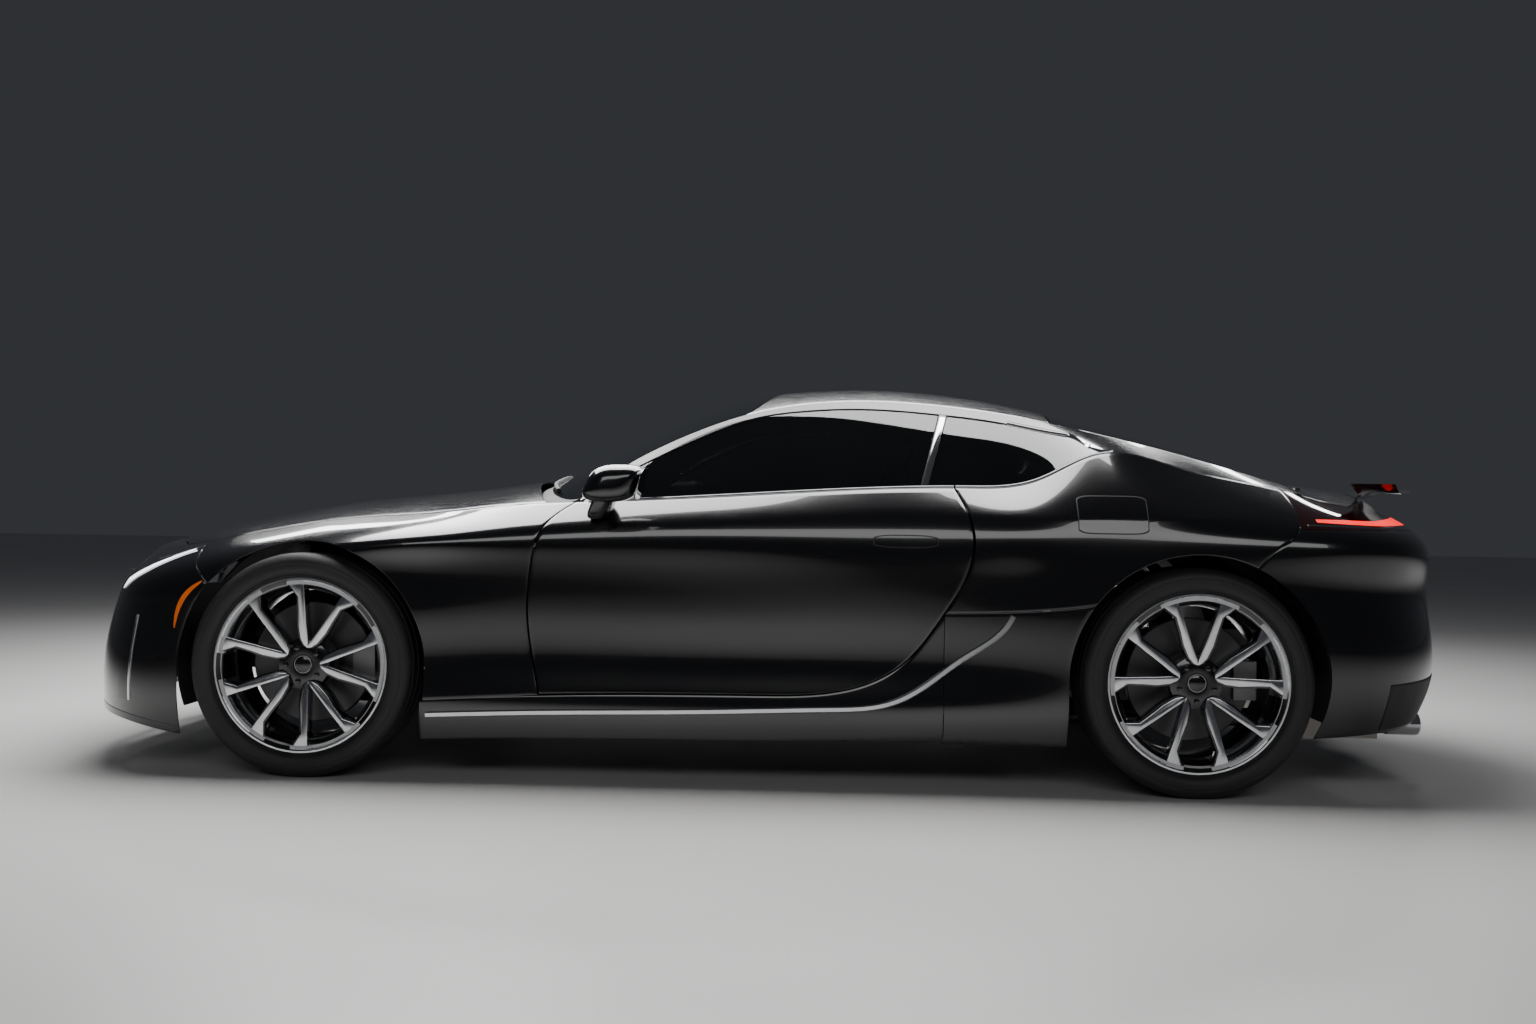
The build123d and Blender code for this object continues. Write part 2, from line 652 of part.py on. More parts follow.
rear_patch = wrapped(coons(
    sill(S_TAIL, aft(330)), straight((S_TAIL, TAIL_LAMP_LOW), (aft(310), TAIL_LAMP_LOW)),
    upright(S_TAIL, BOTTOM.height(S_TAIL), TAIL_LAMP_LOW), along(rear_cut, 0, AT_TAIL_LAMP),
))
rear_skin = panel(rear_patch, SKIN, (SEAM / 2, SEAM / 2, 0, SEAM / 2), fine=(60, 12))
rear_skin = rear_skin - rear_arch - swapped(rear_arch)
for side in (-1, 1):
    rear_skin -= rod_x(side * TIP_Y, TIP_Z, TIP_RADIUS + 6, aft(600), X_REAR + 50)
x_plate = X_REAR - 9
rear_skin += block(x_plate - 34, x_plate, -165, 165, PLATE_Z - 82, PLATE_Z + 82)
for y in (-PLATE_SPACING_Y / 2, PLATE_SPACING_Y / 2):
    for z in (PLATE_Z - PLATE_SPACING_Z / 2, PLATE_Z + PLATE_SPACING_Z / 2):
        rear_skin -= rod_x(y, z, PLATE_HOLE, x_plate - 50, x_plate + 10)
save("rear_bumper", rear_skin)


LAMP_DEPTH = 24.0


def tail_lamp_patch(u, v):
    """One tail lamp's cover, from the bumper up over the edge to the boot lid."""
    station = TAIL_LAMP_OUTER + u * (TAIL_LAMP_INNER - TAIL_LAMP_OUTER)
    return brow(station, TAIL_LAMP_LOW)(v)


tail_lamp = panel(tail_lamp_patch, LAMP_DEPTH, (SEAM / 2, LID_GAP, SEAM / 2, LID_GAP + 6), fine=(20, 8),
                  bevel=(8, 4, 12, 16), fit=0.1)
save("tail_lamps", tail_lamp, swapped(tail_lamp))

# ---------------------------------------------------------------- roof, pillars and glass
SCREEN_BASE, SCREEN_CORNER = mid(0.2335), mid(0.305)
HEADER, HEADER_BOW = mid(0.530), 105.0
BACKLIGHT_TOP, BACKLIGHT_BOW = mid(0.864), 30.0
DECK_START, DECK_BOW = aft(445), 50.0


def screen_low(share):
    return SCREEN_BASE + (SCREEN_CORNER - SCREEN_BASE) * abs(share) ** 2.2


def header(share):
    return HEADER - HEADER_BOW * share**2


def backlight_top(share):
    return BACKLIGHT_TOP - BACKLIGHT_BOW * share**2


def deck_start(share):
    return DECK_START - DECK_BOW * share**2


def roof_patch(first, last):
    """The roof skin between two cross curves."""

    def at(u, v):
        share = 2 * v - 1
        x = first(share) + (last(share) - first(share)) * u
        return roof(x, share)

    return at


glass_edge, roof_edge = (0, 0, GLASS, GLASS), (0, 0, MITRE, MITRE)
save("windscreen", panel(roof_patch(screen_low, header), GLASS, bevel=glass_edge, fine=(16, 24)))
save("roof_panel", panel(roof_patch(header, backlight_top), SKIN, bevel=roof_edge, fine=(16, 24)))
save("rear_window", panel(roof_patch(backlight_top, deck_start), GLASS, bevel=glass_edge, fine=(16, 24)))

WINDOW_TIP, WINDOW_END = mid(0.870), mid(0.915)
frame_low = natural([(mid(0.307), 0.3), (mid(0.324), 0.70), (mid(0.343), 0.78), (mid(0.389), 0.82),
                     (mid(0.442), 0.88), (mid(0.487), 0.925), (mid(0.556), 0.92), (mid(0.654), 0.90),
                     (mid(0.729), 0.885), (mid(0.806), 0.86), (WINDOW_TIP, 0.76)])


def glass_top(x):
    """How far up the side the glass reaches, as a share of the way from belt to rail."""
    if x < WINDOW_TIP:
        return frame_low(x)
    t = min(1, (x - WINDOW_TIP) / (WINDOW_END - WINDOW_TIP))
    return 0.76 * (1 - t) ** 2 * (1 + 2 * t)


def rail_patch(u, v):
    """The pillar and roof rail above the side glass, and the rear pillar behind it."""
    x = mid(0.307) + (aft(395) - mid(0.307)) * u
    low = glass_top(x)
    return upper_side(x, low + (1 - low) * v)


PILLAR_FOOT, PILLAR_HEAD, PILLAR_WIDTH = mid(0.6955), mid(0.7215), 27.0


def pillar(share):
    """Where the door glass ends at a height between belt and rail."""
    return PILLAR_FOOT + (PILLAR_HEAD - PILLAR_FOOT) * share


def glass_patch(first, last, low):
    """Side glass between two edges, from low up to the rail."""

    def at(u, v):
        x = first(v) + (last(v) - first(v)) * u
        return upper_side(x, low + (glass_top(x) - low) * v)

    return at


side_rail = panel(rail_patch, SKIN, (0, 0, SEAM / 2, SEAM / 2), bevel=(0, 0, MITRE, MITRE), fine=(60, 6))
centre_pillar = panel(glass_patch(pillar, lambda v: pillar(v) + PILLAR_WIDTH, 0.035), SKIN,
                      (SEAM / 2, SEAM / 2, 0, SEAM), fine=(4, 10))
save("side_frames", side_rail, centre_pillar, swapped(side_rail), swapped(centre_pillar))

quarter_glass = panel(glass_patch(lambda v: pillar(v) + PILLAR_WIDTH, lambda v: WINDOW_END - 25, 0.035), GLASS,
                      (SEAM / 2, 0, 0, 4 * SEAM), fine=(40, 8))
save("quarter_windows", quarter_glass, swapped(quarter_glass))


def cowl_patch(u, v):
    """The black scuttle between the bonnet's rear edge and the windscreen's foot."""
    share = 2 * v - 1
    x0, x1 = bonnet_rear(share), screen_low(share)
    y0, y1 = share * edge_half(x0), share * RAIL_HALF(x1)
    x, y = x0 + (x1 - x0) * u, y0 + (y1 - y0) * u
    start, end = top(x0, y0, CENTRE_BONNET), roof(x1, share)
    return np.array([x, y, start[2] - 30 * (1 - u) + (end[2] - start[2]) * u])


def bonnet_rear(share):
    return mid(0.222) + (mid(0.269) - mid(0.222)) * share**2


BONNET_HINGE_X, BONNET_HINGE_Y, BONNET_HINGE_Z = mid(0.275), 700, 865
cowl = panel(cowl_patch, SKIN, (LID_GAP, 0.1, 2, 2), fine=(6, 24))
for side in (-1, 1):
    y = side * BONNET_HINGE_Y
    cowl -= block(BONNET_HINGE_X - 90, BONNET_HINGE_X + 24, y - 34, y + 34, 700, 1100)
save("cowl", cowl)

# ---------------------------------------------------------------- doors
HINGE_X, HINGE_Y = mid(0.2566) + 110, HALF - 72
UNDERCUT = 25.0        # how far the door's inside stands above its skin's lower edge
door_slab = panel(door_skin, DOOR_DEPTH, (0, 0, 0, 2), bevel=(20, 45, 14, 4), fine=(30, 14))
door_front_cut = block(X_FRONT, HINGE_X + 25, -HALF, HALF, 0, ROOF_HEIGHT)
under_line = [tuple(outline(AT_FOOT * k / 12) + np.array([0, UNDERCUT])) for k in range(13)]
door_undercut = extrude(
    Plane(origin=(0, -HALF + 3 * SKIN, 0), x_dir=(1, 0, 0), z_dir=(0, -1, 0)) * make_face(
        Polyline((under_line[0][0], 0), *under_line, (under_line[-1][0], 0), close=True)), HALF / 2, dir=(0, 1, 0))
door_slab = door_slab - door_front_cut - door_undercut
door_flange = panel(door_skin, FLANGE, (0, 0, 0, 2), fine=(30, 14)) & block(X_FRONT, HINGE_X + 26, -HALF, 0, 0, ROOF_HEIGHT)
door = door_slab + door_flange
hinge_heights = (385, 720)
for z in hinge_heights:
    door += block(HINGE_X, HINGE_X + 45, -HINGE_Y - 12, -HINGE_Y + 12, z - 24, z + 24)
    door += rod_z(HINGE_X, -HINGE_Y, 13, z - 25, z + 25)
for z in hinge_heights:
    door -= rod_z(HINGE_X, -HINGE_Y, 7 + PIN_PLAY, z - 30, z + 30)
save_pair("door", door)

door_glass = panel(glass_patch(lambda v: mid(0.325), pillar, 0.0), GLASS, (0, LID_GAP, 1, LID_GAP), fine=(20, 8))
save_pair("door_glass", door_glass)


mirror_shell = block(mid(0.355), mid(0.41), -HALF - 145, -HALF + 75, 900, 1020)
mirror_shell = fillet(mirror_shell.edges(), 25)
mirror_stalk = block(mid(0.365), mid(0.385), -HALF - 10, -HALF + 140, 856, 906)
door_face = panel(door_skin, DOOR_DEPTH, (0, 0, 0, 2), lift=-3 * SEAT, fine=(30, 14))
save_pair("door_mirror", mirror_shell + (mirror_stalk - door_face))


# ---------------------------------------------------------------- bonnet and boot
def bonnet_patch(u, v):
    share = 2 * v - 1
    x = bonnet_front(abs(share))[0] + (bonnet_rear(share) - bonnet_front(abs(share))[0]) * u
    return top(x, share * edge_half(x), CENTRE_BONNET)


LUG, LUG_PIN, LUG_BARREL = 26.0, 7.0, 13.0
bonnet = panel(bonnet_patch, LID_DEPTH, (LID_GAP,) * 4, fine=(24, 24))
for side in (-1, 1):
    y = side * BONNET_HINGE_Y
    roof_of_lug = top(mid(0.25), y, CENTRE_BONNET)[2] - 6
    arm = Plane(origin=(0, y - LUG / 2, 0), x_dir=(1, 0, 0), z_dir=(0, 1, 0)) * make_face(Polyline(
        (mid(0.25) - 60, -roof_of_lug), (mid(0.25) - 10, -roof_of_lug), (BONNET_HINGE_X + 4, -BONNET_HINGE_Z - 8),
        (BONNET_HINGE_X, -BONNET_HINGE_Z + 11), (mid(0.25) - 60, -BONNET_HINGE_Z + 4), close=True))
    bonnet += extrude(arm, LUG, dir=(0, 1, 0))
    bonnet += rod_y(BONNET_HINGE_X, BONNET_HINGE_Z, LUG_BARREL, y - LUG / 2, y + LUG / 2)
    bonnet -= rod_y(BONNET_HINGE_X, BONNET_HINGE_Z, LUG_PIN + PIN_PLAY, y - 30, y + 30)
save("bonnet", bonnet)

DECK_GAP = 24.0


def deck_patch(u, v):
    share = 2 * v - 1
    x0 = deck_start(share) + DECK_GAP
    x = x0 + (lid_rear(abs(share))[0] - x0) * u
    return top(x, share * edge_half(x), CENTRE_DECK)


def lid_face_patch(u, v):
    """The boot lid's rear face, from the bumper up over the edge to the deck."""
    a = 2 * u - 1
    station = S_TAIL + abs(a) * (TAIL_LAMP_INNER - S_TAIL)
    return brow(station, TAIL_LAMP_LOW)(v) * np.array([1, 1 if a < 0 else -1, 1])


BOOT_HINGE_X, BOOT_HINGE_Y, BOOT_HINGE_Z = aft(472), 400, 990
deck = panel(deck_patch, LID_DEPTH, (0, SEAM / 2, LID_GAP, LID_GAP), fine=(16, 24))
lid_face = panel(lid_face_patch, LID_DEPTH, (0, 0, LID_GAP, SEAM / 2), fine=(20, 10), fit=0.3)
for side in (-1, 1):
    y = side * BOOT_HINGE_Y
    deck -= block(BOOT_HINGE_X - 40, BOOT_HINGE_X + 8 + SWING_GAP, y - 32, y + 32, 900, 1100)
    deck += rod_y(BOOT_HINGE_X, BOOT_HINGE_Z, 11, y - 15, y + 15)
    deck += block(BOOT_HINGE_X, BOOT_HINGE_X + 40, y - 15, y + 15, BOOT_HINGE_Z - 8, BOOT_HINGE_Z + 2)
    deck -= rod_y(BOOT_HINGE_X, BOOT_HINGE_Z, 5 + PIN_PLAY, y - 30, y + 30)
save("boot_lid", deck, lid_face)

WING_HALF, WING_FRONT, WING_TOP, WING_BLEND = 600.0, aft(775), 1003.0, 12.0


def wing_place(u, v):
    """A place in plan on the lip, and the height of the deck that carries it."""
    y = WING_HALF * (2 * v - 1)
    share = y / WING_HALF
    x0, x1 = WING_FRONT - 150 * share**2, X_REAR - 170 * share**2
    x = x0 + (x1 - x0) * u
    limit = lid_rear(abs(y) / edge_half(x_lid_tip - 60))[0]
    carried = limit - WING_BLEND * math.log1p(math.exp((limit - x) / WING_BLEND))
    return x, y, top(carried, y, CENTRE_DECK)[2] + SEAM


def wing_patch(u, v):
    """The upper face of the raised lip on the boot lid."""
    x, y, low = wing_place(u, v)
    height = 5 + (WING_TOP - low - 5) * math.sin(u * math.pi / 2) * (1 - (y / WING_HALF) ** 4)
    return np.array([x, y, low + height])


def wing_seat(u, v):
    """The underside of the lip, resting on the lid and running straight on behind it."""
    return np.array(wing_place(u, v))


save("rear_wing", panel(wing_patch, 0, (0, 0, 0, 0), under=wing_seat, fine=(24, 24)))

# ---------------------------------------------------------------- grille
grille = mouth(1.0, X_FRONT + 70, X_FRONT + 95) - mouth(22, X_FRONT + 60, X_FRONT + 110)
for k in range(9):
    z = 240 + 44 * k
    grille += mouth(10, X_FRONT + 75, X_FRONT + 90) & block(X_FRONT, X_FRONT + 200, -HALF, HALF, z, z + 10)
save("grille", grille)

# ---------------------------------------------------------------- underbody
FLOOR_LOW, FLOOR_HIGH = 150.0, 175.0
FLOOR_FRONT, BOOT_FRONT = mid(0.155), mid(0.765)
SILL_IN = 745.0
SILL_BOX_START = 56.0    # how far the sill box stops short of the front wheel
HINGE_EAR = 11.0
CABIN_HALF = 760.0
BULKHEAD = mid(0.205)
RAIL_IN, RAIL_OUT = 380.0, 470.0


def both(shape):
    return shape + swapped(shape)


sill_box = panel(skirt_patch, 90, (SILL_BOX_START, 2, 0, DOOR_GAP + 8), lift=SKIN + 2 * SEAT, fine=(40, 8))
floor = block(FLOOR_FRONT, mid(0.86), -CABIN_HALF, CABIN_HALF, FLOOR_LOW, FLOOR_HIGH)
floor += block(mid(0.206), mid(0.69), -115, 115, FLOOR_LOW, 380)
floor += block(BULKHEAD, BULKHEAD + 28, -770, 770, FLOOR_LOW, 850)
floor += block(mid(0.78), mid(0.79), -700, 700, FLOOR_LOW, 880)
floor += block(mid(0.785), aft(300), -620, 620, 870, 885)
side_structure = sill_box + block(FLOOR_FRONT, mid(0.75), -860, -CABIN_HALF + 20, FLOOR_LOW, 240)
for x in (JACK_FRONT, JACK_REAR):
    side_structure += block(x - JACK_PAD / 2, x + JACK_PAD / 2, -JACK_Y - JACK_PAD / 2, -JACK_Y + JACK_PAD / 2,
                            FLOOR_LOW - JACK_DROP, FLOOR_LOW + 1)
side_structure += block(mid(0.2), HINGE_X + 6, -770, -690, FLOOR_LOW, 790)
side_structure += block(mid(0.765), mid(0.80), -880, -690, FLOOR_LOW, 850)
for z in hinge_heights:
    for z0 in (z - 42, z + 30):
        side_structure += block(HINGE_X - HINGE_EAR, HINGE_X + 6, -HINGE_Y, -760, z0, z0 + 12)
        side_structure += rod_z(HINGE_X, -HINGE_Y, HINGE_EAR, z0, z0 + 12)
    side_structure += rod_z(HINGE_X, -HINGE_Y, 7, z - 40, z + 40)
cheek_low, cheek_high = door_front(0.05), door_front(0.7)
cheek_patch = side_patch(
    straight((BULKHEAD, cheek_low[1]), cheek_low), straight((BULKHEAD, cheek_high[1]), cheek_high),
    upright(BULKHEAD, cheek_low[1], cheek_high[1]), along(door_front, 0.05, 0.7),
)
side_structure += panel(cheek_patch, 140, (0, DOOR_GAP, 0, 0), lift=SKIN + SEAT, fine=(8, 10))
side_structure += block(fore(-790), mid(0.21), -RAIL_OUT, -RAIL_IN, 300, 400)
side_structure += block(mid(0.785), X_REAR - 130, -520, -430, 330, 420)
KINGPIN_Y = FRONT_TRACK / 2 - KINGPIN_OFFSET
ARM = 28.0
UPPER_PIVOT, LOWER_PIVOT = FRONT_TYRE_RADIUS + 150, FRONT_TYRE_RADIUS - 150
side_structure += block(fore(-110), fore(110), -560, -RAIL_IN, 300, 800)
side_structure += block(fore(-30), fore(30), -KINGPIN_Y, -540, UPPER_PIVOT, UPPER_PIVOT + ARM)
side_structure += rod_z(X_AXLE_F, -KINGPIN_Y, KINGPIN_RADIUS + SWING_GAP, UPPER_PIVOT, UPPER_PIVOT + ARM)
side_structure += rod_z(X_AXLE_F, -KINGPIN_Y, KINGPIN_RADIUS, UPPER_PIVOT - 30, UPPER_PIVOT)


def liner(axle, height, y_in, y_out, low):
    ring = rod_y(axle, height, LINER_RADIUS + LINER, -y_out, -y_in) - rod_y(axle, height, LINER_RADIUS, -y_out, -y_in)
    ring -= block(axle - 600, axle + 600, -HALF, 0, -200, low)
    return ring - block(axle - 600, axle + 600, -HALF, -735, 620, 1000)


side_structure += liner(X_AXLE_F, FRONT_TYRE_RADIUS, 480, 870, 220)
side_structure += liner(X_AXLE_R, REAR_TYRE_RADIUS, 480, 870, 240)
for y in (-BONNET_HINGE_Y - LUG / 2 - 14, -BONNET_HINGE_Y + LUG / 2 + 4):
    side_structure += block(BONNET_HINGE_X - 10, BONNET_HINGE_X + 10, y, y + 10, 780, BONNET_HINGE_Z + 9)
side_structure += rod_y(BONNET_HINGE_X, BONNET_HINGE_Z, LUG_PIN, -BONNET_HINGE_Y - 27, -BONNET_HINGE_Y + 27)
for y in (-BOOT_HINGE_Y - 25, -BOOT_HINGE_Y + 19):
    side_structure += block(BOOT_HINGE_X - 8, BOOT_HINGE_X + 8, y, y + 6, 880, BOOT_HINGE_Z + 5)
side_structure += rod_y(BOOT_HINGE_X, BOOT_HINGE_Z, 5, -BOOT_HINGE_Y - 25, -BOOT_HINGE_Y + 25)
side_structure += block(aft(280), BOOT_HINGE_X + 8, -BOOT_HINGE_Y - 25, -BOOT_HINGE_Y + 25, 870, 890)
floor += both(side_structure)
x_tow = fore(-800)
floor += rod_x(TOW_Y, TOW_Z, TOW_RADIUS + 11, x_tow, fore(-700))
floor -= rod_x(TOW_Y, TOW_Z, TOW_RADIUS, x_tow - 10, x_tow + TOW_DEPTH)
bumper_seam = (SEAM / 2, SEAM / 2, 0, SEAM / 2)
nose_beam = panel(bumper_patch, 50, bumper_seam, lift=SKIN + 60, fine=(60, 12))
floor += nose_beam & block(X_FRONT, fore(-500), -560, 560, 320, 430)
beam_end = panel(bumper_patch, 90, bumper_seam, lift=SKIN + SEAT, fine=(60, 12))
floor += both(beam_end & block(X_FRONT, fore(-500), -560, -480, 320, 430))
floor += panel(rear_patch, 60, bumper_seam, lift=SKIN + SEAT, fine=(60, 12)) & block(aft(600), X_REAR, -600, 600, 330, 430)
floor += block(aft(250), X_REAR - 190, -520, 520, 400, 420)
save("front_structure", floor & block(X_FRONT, FLOOR_FRONT, -HALF, HALF, 0, ROOF_HEIGHT))
save("rear_structure", floor & block(BOOT_FRONT, X_REAR, -HALF, HALF, 0, ROOF_HEIGHT))
save("floor_pan", floor & block(FLOOR_FRONT, BOOT_FRONT, -SILL_IN, SILL_IN, 0, ROOF_HEIGHT))
save("sills", *(floor & block(FLOOR_FRONT, BOOT_FRONT, y, y + HALF - SILL_IN, 0, ROOF_HEIGHT) for y in (-HALF, SILL_IN)))

# ---------------------------------------------------------------- engine and what shows from below
subframe = block(fore(-150), fore(150), -RAIL_IN + 1, RAIL_IN - 1, 180, 250)
subframe += both(
    block(fore(-30), fore(30), -KINGPIN_Y, -RAIL_IN + 20, LOWER_PIVOT - ARM, LOWER_PIVOT)
    + rod_z(X_AXLE_F, -KINGPIN_Y, KINGPIN_RADIUS + SWING_GAP, LOWER_PIVOT - ARM, LOWER_PIVOT)
    + rod_z(X_AXLE_F, -KINGPIN_Y, KINGPIN_RADIUS, LOWER_PIVOT, LOWER_PIVOT + 30)
    + block(fore(-60), fore(60), -RAIL_IN - 40, -RAIL_IN + 20, 180, 300 - SEAT)
)
save("front_subframe", subframe)
save("engine", block(fore(-20), fore(560), -300, 300, 250 + SEAT, 770))
SILENCER_END = X_REAR - 240
pipes = [rod_x(side * 90, FLOOR_LOW - SEAT - 22, 22, mid(0.3), SILENCER_END - 258) for side in (-1, 1)]
silencer = block(SILENCER_END - 260, SILENCER_END, -470, 470, 130, 240)
tips = [rod_x(side * TIP_Y, TIP_Z, TIP_RADIUS, SILENCER_END - 5, SILENCER_END + 150) for side in (-1, 1)]
exhaust = silencer
for piece in pipes + tips:
    exhaust += piece
save("exhaust", exhaust)

# ---------------------------------------------------------------- cabin
def across(profile, y0, y1):
    """A profile of (x, z) points made solid across the car."""
    face = make_face(Polyline(*[(x, 0, z) for x, z in profile], close=True))
    return extrude(face.move(Location((0, y0, 0))), y1 - y0, dir=(0, 1, 0))


save("dashboard", across([(BULKHEAD + 28 + SEAT, 560), (mid(0.34), 560), (mid(0.365), 700), (mid(0.34), 815),
                          (mid(0.26), 840), (BULKHEAD + 28 + SEAT, 790)], -660, 660))
SEAT_Y, SEAT_WIDTH = 370.0, 500.0


def front_seat(y):
    x = mid(0.44)
    seat = across([(x + 60, FLOOR_HIGH + SEAT), (x + 460, FLOOR_HIGH + SEAT), (x + 460, 300), (x + 560, 330),
                   (x + 740, 860), (x + 720, 930), (x + 640, 900), (x + 500, 480), (x, 470), (x, 330), (x + 60, 300)],
                  y - SEAT_WIDTH / 2, y + SEAT_WIDTH / 2)
    return seat + across([(x + 660, 880), (x + 750, 900), (x + 770, 1060), (x + 690, 1070)], y - 130, y + 130)


save("front_seats", front_seat(-SEAT_Y), front_seat(SEAT_Y))
save("rear_seat", across([(mid(0.72), FLOOR_HIGH + SEAT), (mid(0.78) - SEAT, FLOOR_HIGH + SEAT),
                          (mid(0.78) - SEAT, 860), (mid(0.76), 860), (mid(0.735), 460), (mid(0.715), 440),
                          (mid(0.70), 440), (mid(0.70), 300)], -600, 600))
wheel_plane = Plane(origin=(mid(0.412), -SEAT_Y, 735), x_dir=(0, 1, 0), z_dir=(-0.92, 0, -0.39))
wheel = wheel_plane * (Torus(175, 15) + Cylinder(45, 40) + Box(340, 34, 16))
wheel += wheel_plane * Cylinder(24, 190).move(Location((0, 0, 95)))
save("steering_wheel", wheel - block(X_FRONT, mid(0.365), -HALF, HALF, 0, ROOF_HEIGHT))

# ---------------------------------------------------------------- wheels
def around(profile, x, y, z, side):
    """A ring of (radius, outward offset) points turned about a wheel's axis."""
    face = make_face(Polyline(*[(radius, side * offset, 0) for radius, offset in profile], close=True))
    return revolve(face, Axis.Y).move(Location((x, side * y, z)))


def tyre(x, y, radius, width, side):
    w = width / 2
    seat = w - RIM_INSET
    right = [(BEAD_RADIUS + SEAT, seat), (RIM_RADIUS + SEAT, seat), (RIM_RADIUS + SEAT, seat + 10),
             (radius - 26, w), (radius, w - 24)]
    profile = right + [(r, -offset) for r, offset in reversed(right)]
    return around(profile, x, y, radius, side)


def rim(x, y, z, width, side):
    w = width / 2 - RIM_INSET + SEAT
    flange = [(BEAD_RADIUS - BARREL_WALL, -w - 8), (RIM_RADIUS, -w - 8), (RIM_RADIUS, -w), (BEAD_RADIUS, -w),
              (BEAD_RADIUS, w), (RIM_RADIUS, w), (RIM_RADIUS, w + 8), (BEAD_RADIUS - BARREL_WALL, w + 8)]
    body = around(flange, x, y, z, side)
    face_out, face_in = w + 4, w - 34
    body += around([(0, DISC_FACE), (HUB_RADIUS, DISC_FACE), (HUB_RADIUS, face_in + 20), (HUB_RADIUS - 10, face_out - 8),
                    (0, face_out - 8)], x, y, z, side)
    body += around([(0, DISC_BACK), (DISC_RADIUS, DISC_BACK), (DISC_RADIUS, DISC_FACE), (0, DISC_FACE)], x, y, z, side)
    for k in range(5):
        for lean in (-1, 1):
            arm = Polyline((60, lean * 4), (BEAD_RADIUS, lean * 62), (BEAD_RADIUS, lean * 96),
                           (70, lean * 34), close=True)
            spoke = extrude(make_face(arm), face_out - face_in, dir=(0, 0, 1))
            spoke &= Cylinder(BEAD_RADIUS - BARREL_WALL / 2, 2 * FRONT_TYRE_WIDTH)
            spoke = spoke.rotate(Axis.Z, 90 + 72 * k)
            spoke = spoke.rotate(Axis.X, 90 if side < 0 else -90)
            body += spoke.move(Location((x, side * (y + face_in), z)))
    return body - rod_y(x, z, SPINDLE_RADIUS + PIN_PLAY, side * (y - 40), side * (y + 40))


def knuckle(x, y, z, side, steered):
    """The upright that carries the wheel's spindle and the brake caliper."""
    post_y = y - KINGPIN_OFFSET
    low, high = (LOWER_PIVOT + SWING_GAP, UPPER_PIVOT - SWING_GAP) if steered else (z - 120, z + 120)
    piece = block(x - 26, x + 26, post_y - 24, post_y + 20, low, high)
    piece += rod_y(x, z, 44, post_y, y - 42)
    piece += rod_y(x, z, SPINDLE_RADIUS, post_y, y + 38)
    piece += block(x, x + 200, post_y - 24, post_y - 2, z - 34, z + 34)
    caliper = block(x + 140, x + 212, post_y - 24, y + 8, z - 62, z + 62)
    caliper -= block(x, x + 206, y + DISC_BACK - SWING_GAP, y + DISC_FACE + SWING_GAP, z - 90, z + 90)
    piece += caliper
    if steered:
        piece -= rod_z(x, post_y, KINGPIN_RADIUS + PIN_PLAY, low, low + 34)
        piece -= rod_z(x, post_y, KINGPIN_RADIUS + PIN_PLAY, high - 34, high)
    return piece if side > 0 else swapped(piece)


for side, name in ((-1, "left"), (1, "right")):
    save(f"tyre_front_{name}", tyre(X_AXLE_F, FRONT_TRACK / 2, FRONT_TYRE_RADIUS, FRONT_TYRE_WIDTH, side))
    save(f"tyre_rear_{name}", tyre(X_AXLE_R, REAR_TRACK / 2, REAR_TYRE_RADIUS, REAR_TYRE_WIDTH, side))
    save(f"rim_front_{name}", rim(X_AXLE_F, FRONT_TRACK / 2, FRONT_TYRE_RADIUS, FRONT_TYRE_WIDTH, side))
    save(f"rim_rear_{name}", rim(X_AXLE_R, REAR_TRACK / 2, REAR_TYRE_RADIUS, REAR_TYRE_WIDTH, side))
    save(f"knuckle_front_{name}", knuckle(X_AXLE_F, FRONT_TRACK / 2, FRONT_TYRE_RADIUS, side, True))

rear_knuckles = [knuckle(X_AXLE_R, REAR_TRACK / 2, REAR_TYRE_RADIUS, side, False) for side in (-1, 1)]
rear_arm = block(aft(-40), aft(40), -REAR_TRACK / 2 + KINGPIN_OFFSET - 10, -300, 250, 280)
save("rear_suspension", block(aft(-160), aft(160), -430, 430, 240, 330 - SEAT) + both(rear_arm) + rear_knuckles[0] + rear_knuckles[1])
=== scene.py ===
import math

import bmesh
import bpy
import numpy as np
from mathutils import Matrix, Vector


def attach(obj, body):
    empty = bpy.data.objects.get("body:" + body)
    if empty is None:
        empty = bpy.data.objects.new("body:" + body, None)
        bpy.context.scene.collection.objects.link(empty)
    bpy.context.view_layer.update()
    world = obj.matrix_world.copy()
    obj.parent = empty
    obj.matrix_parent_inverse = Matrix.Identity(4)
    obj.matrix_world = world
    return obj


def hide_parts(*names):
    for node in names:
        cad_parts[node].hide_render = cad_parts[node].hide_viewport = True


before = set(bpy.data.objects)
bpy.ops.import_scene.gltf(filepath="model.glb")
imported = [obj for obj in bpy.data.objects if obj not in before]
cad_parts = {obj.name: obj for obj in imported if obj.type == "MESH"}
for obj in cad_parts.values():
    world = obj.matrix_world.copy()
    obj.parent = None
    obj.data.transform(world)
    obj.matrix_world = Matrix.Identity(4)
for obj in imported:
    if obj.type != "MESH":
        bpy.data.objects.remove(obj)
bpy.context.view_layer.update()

# ------------------------------------------------------------ body surface
# The car's pressed skins share one smooth surface, so that a highlight runs on from panel
# to panel. Lines of height and inset run round each side, and a section joins them.
LENGTH, WIDTH, WHEELBASE, FRONT_OVERHANG = 4.770, 1.920, 2.870, 0.920
HALF = WIDTH / 2
X_FRONT, X_REAR = -LENGTH / 2, LENGTH / 2
X_AXLE_F = X_FRONT + FRONT_OVERHANG
X_AXLE_R = X_AXLE_F + WHEELBASE
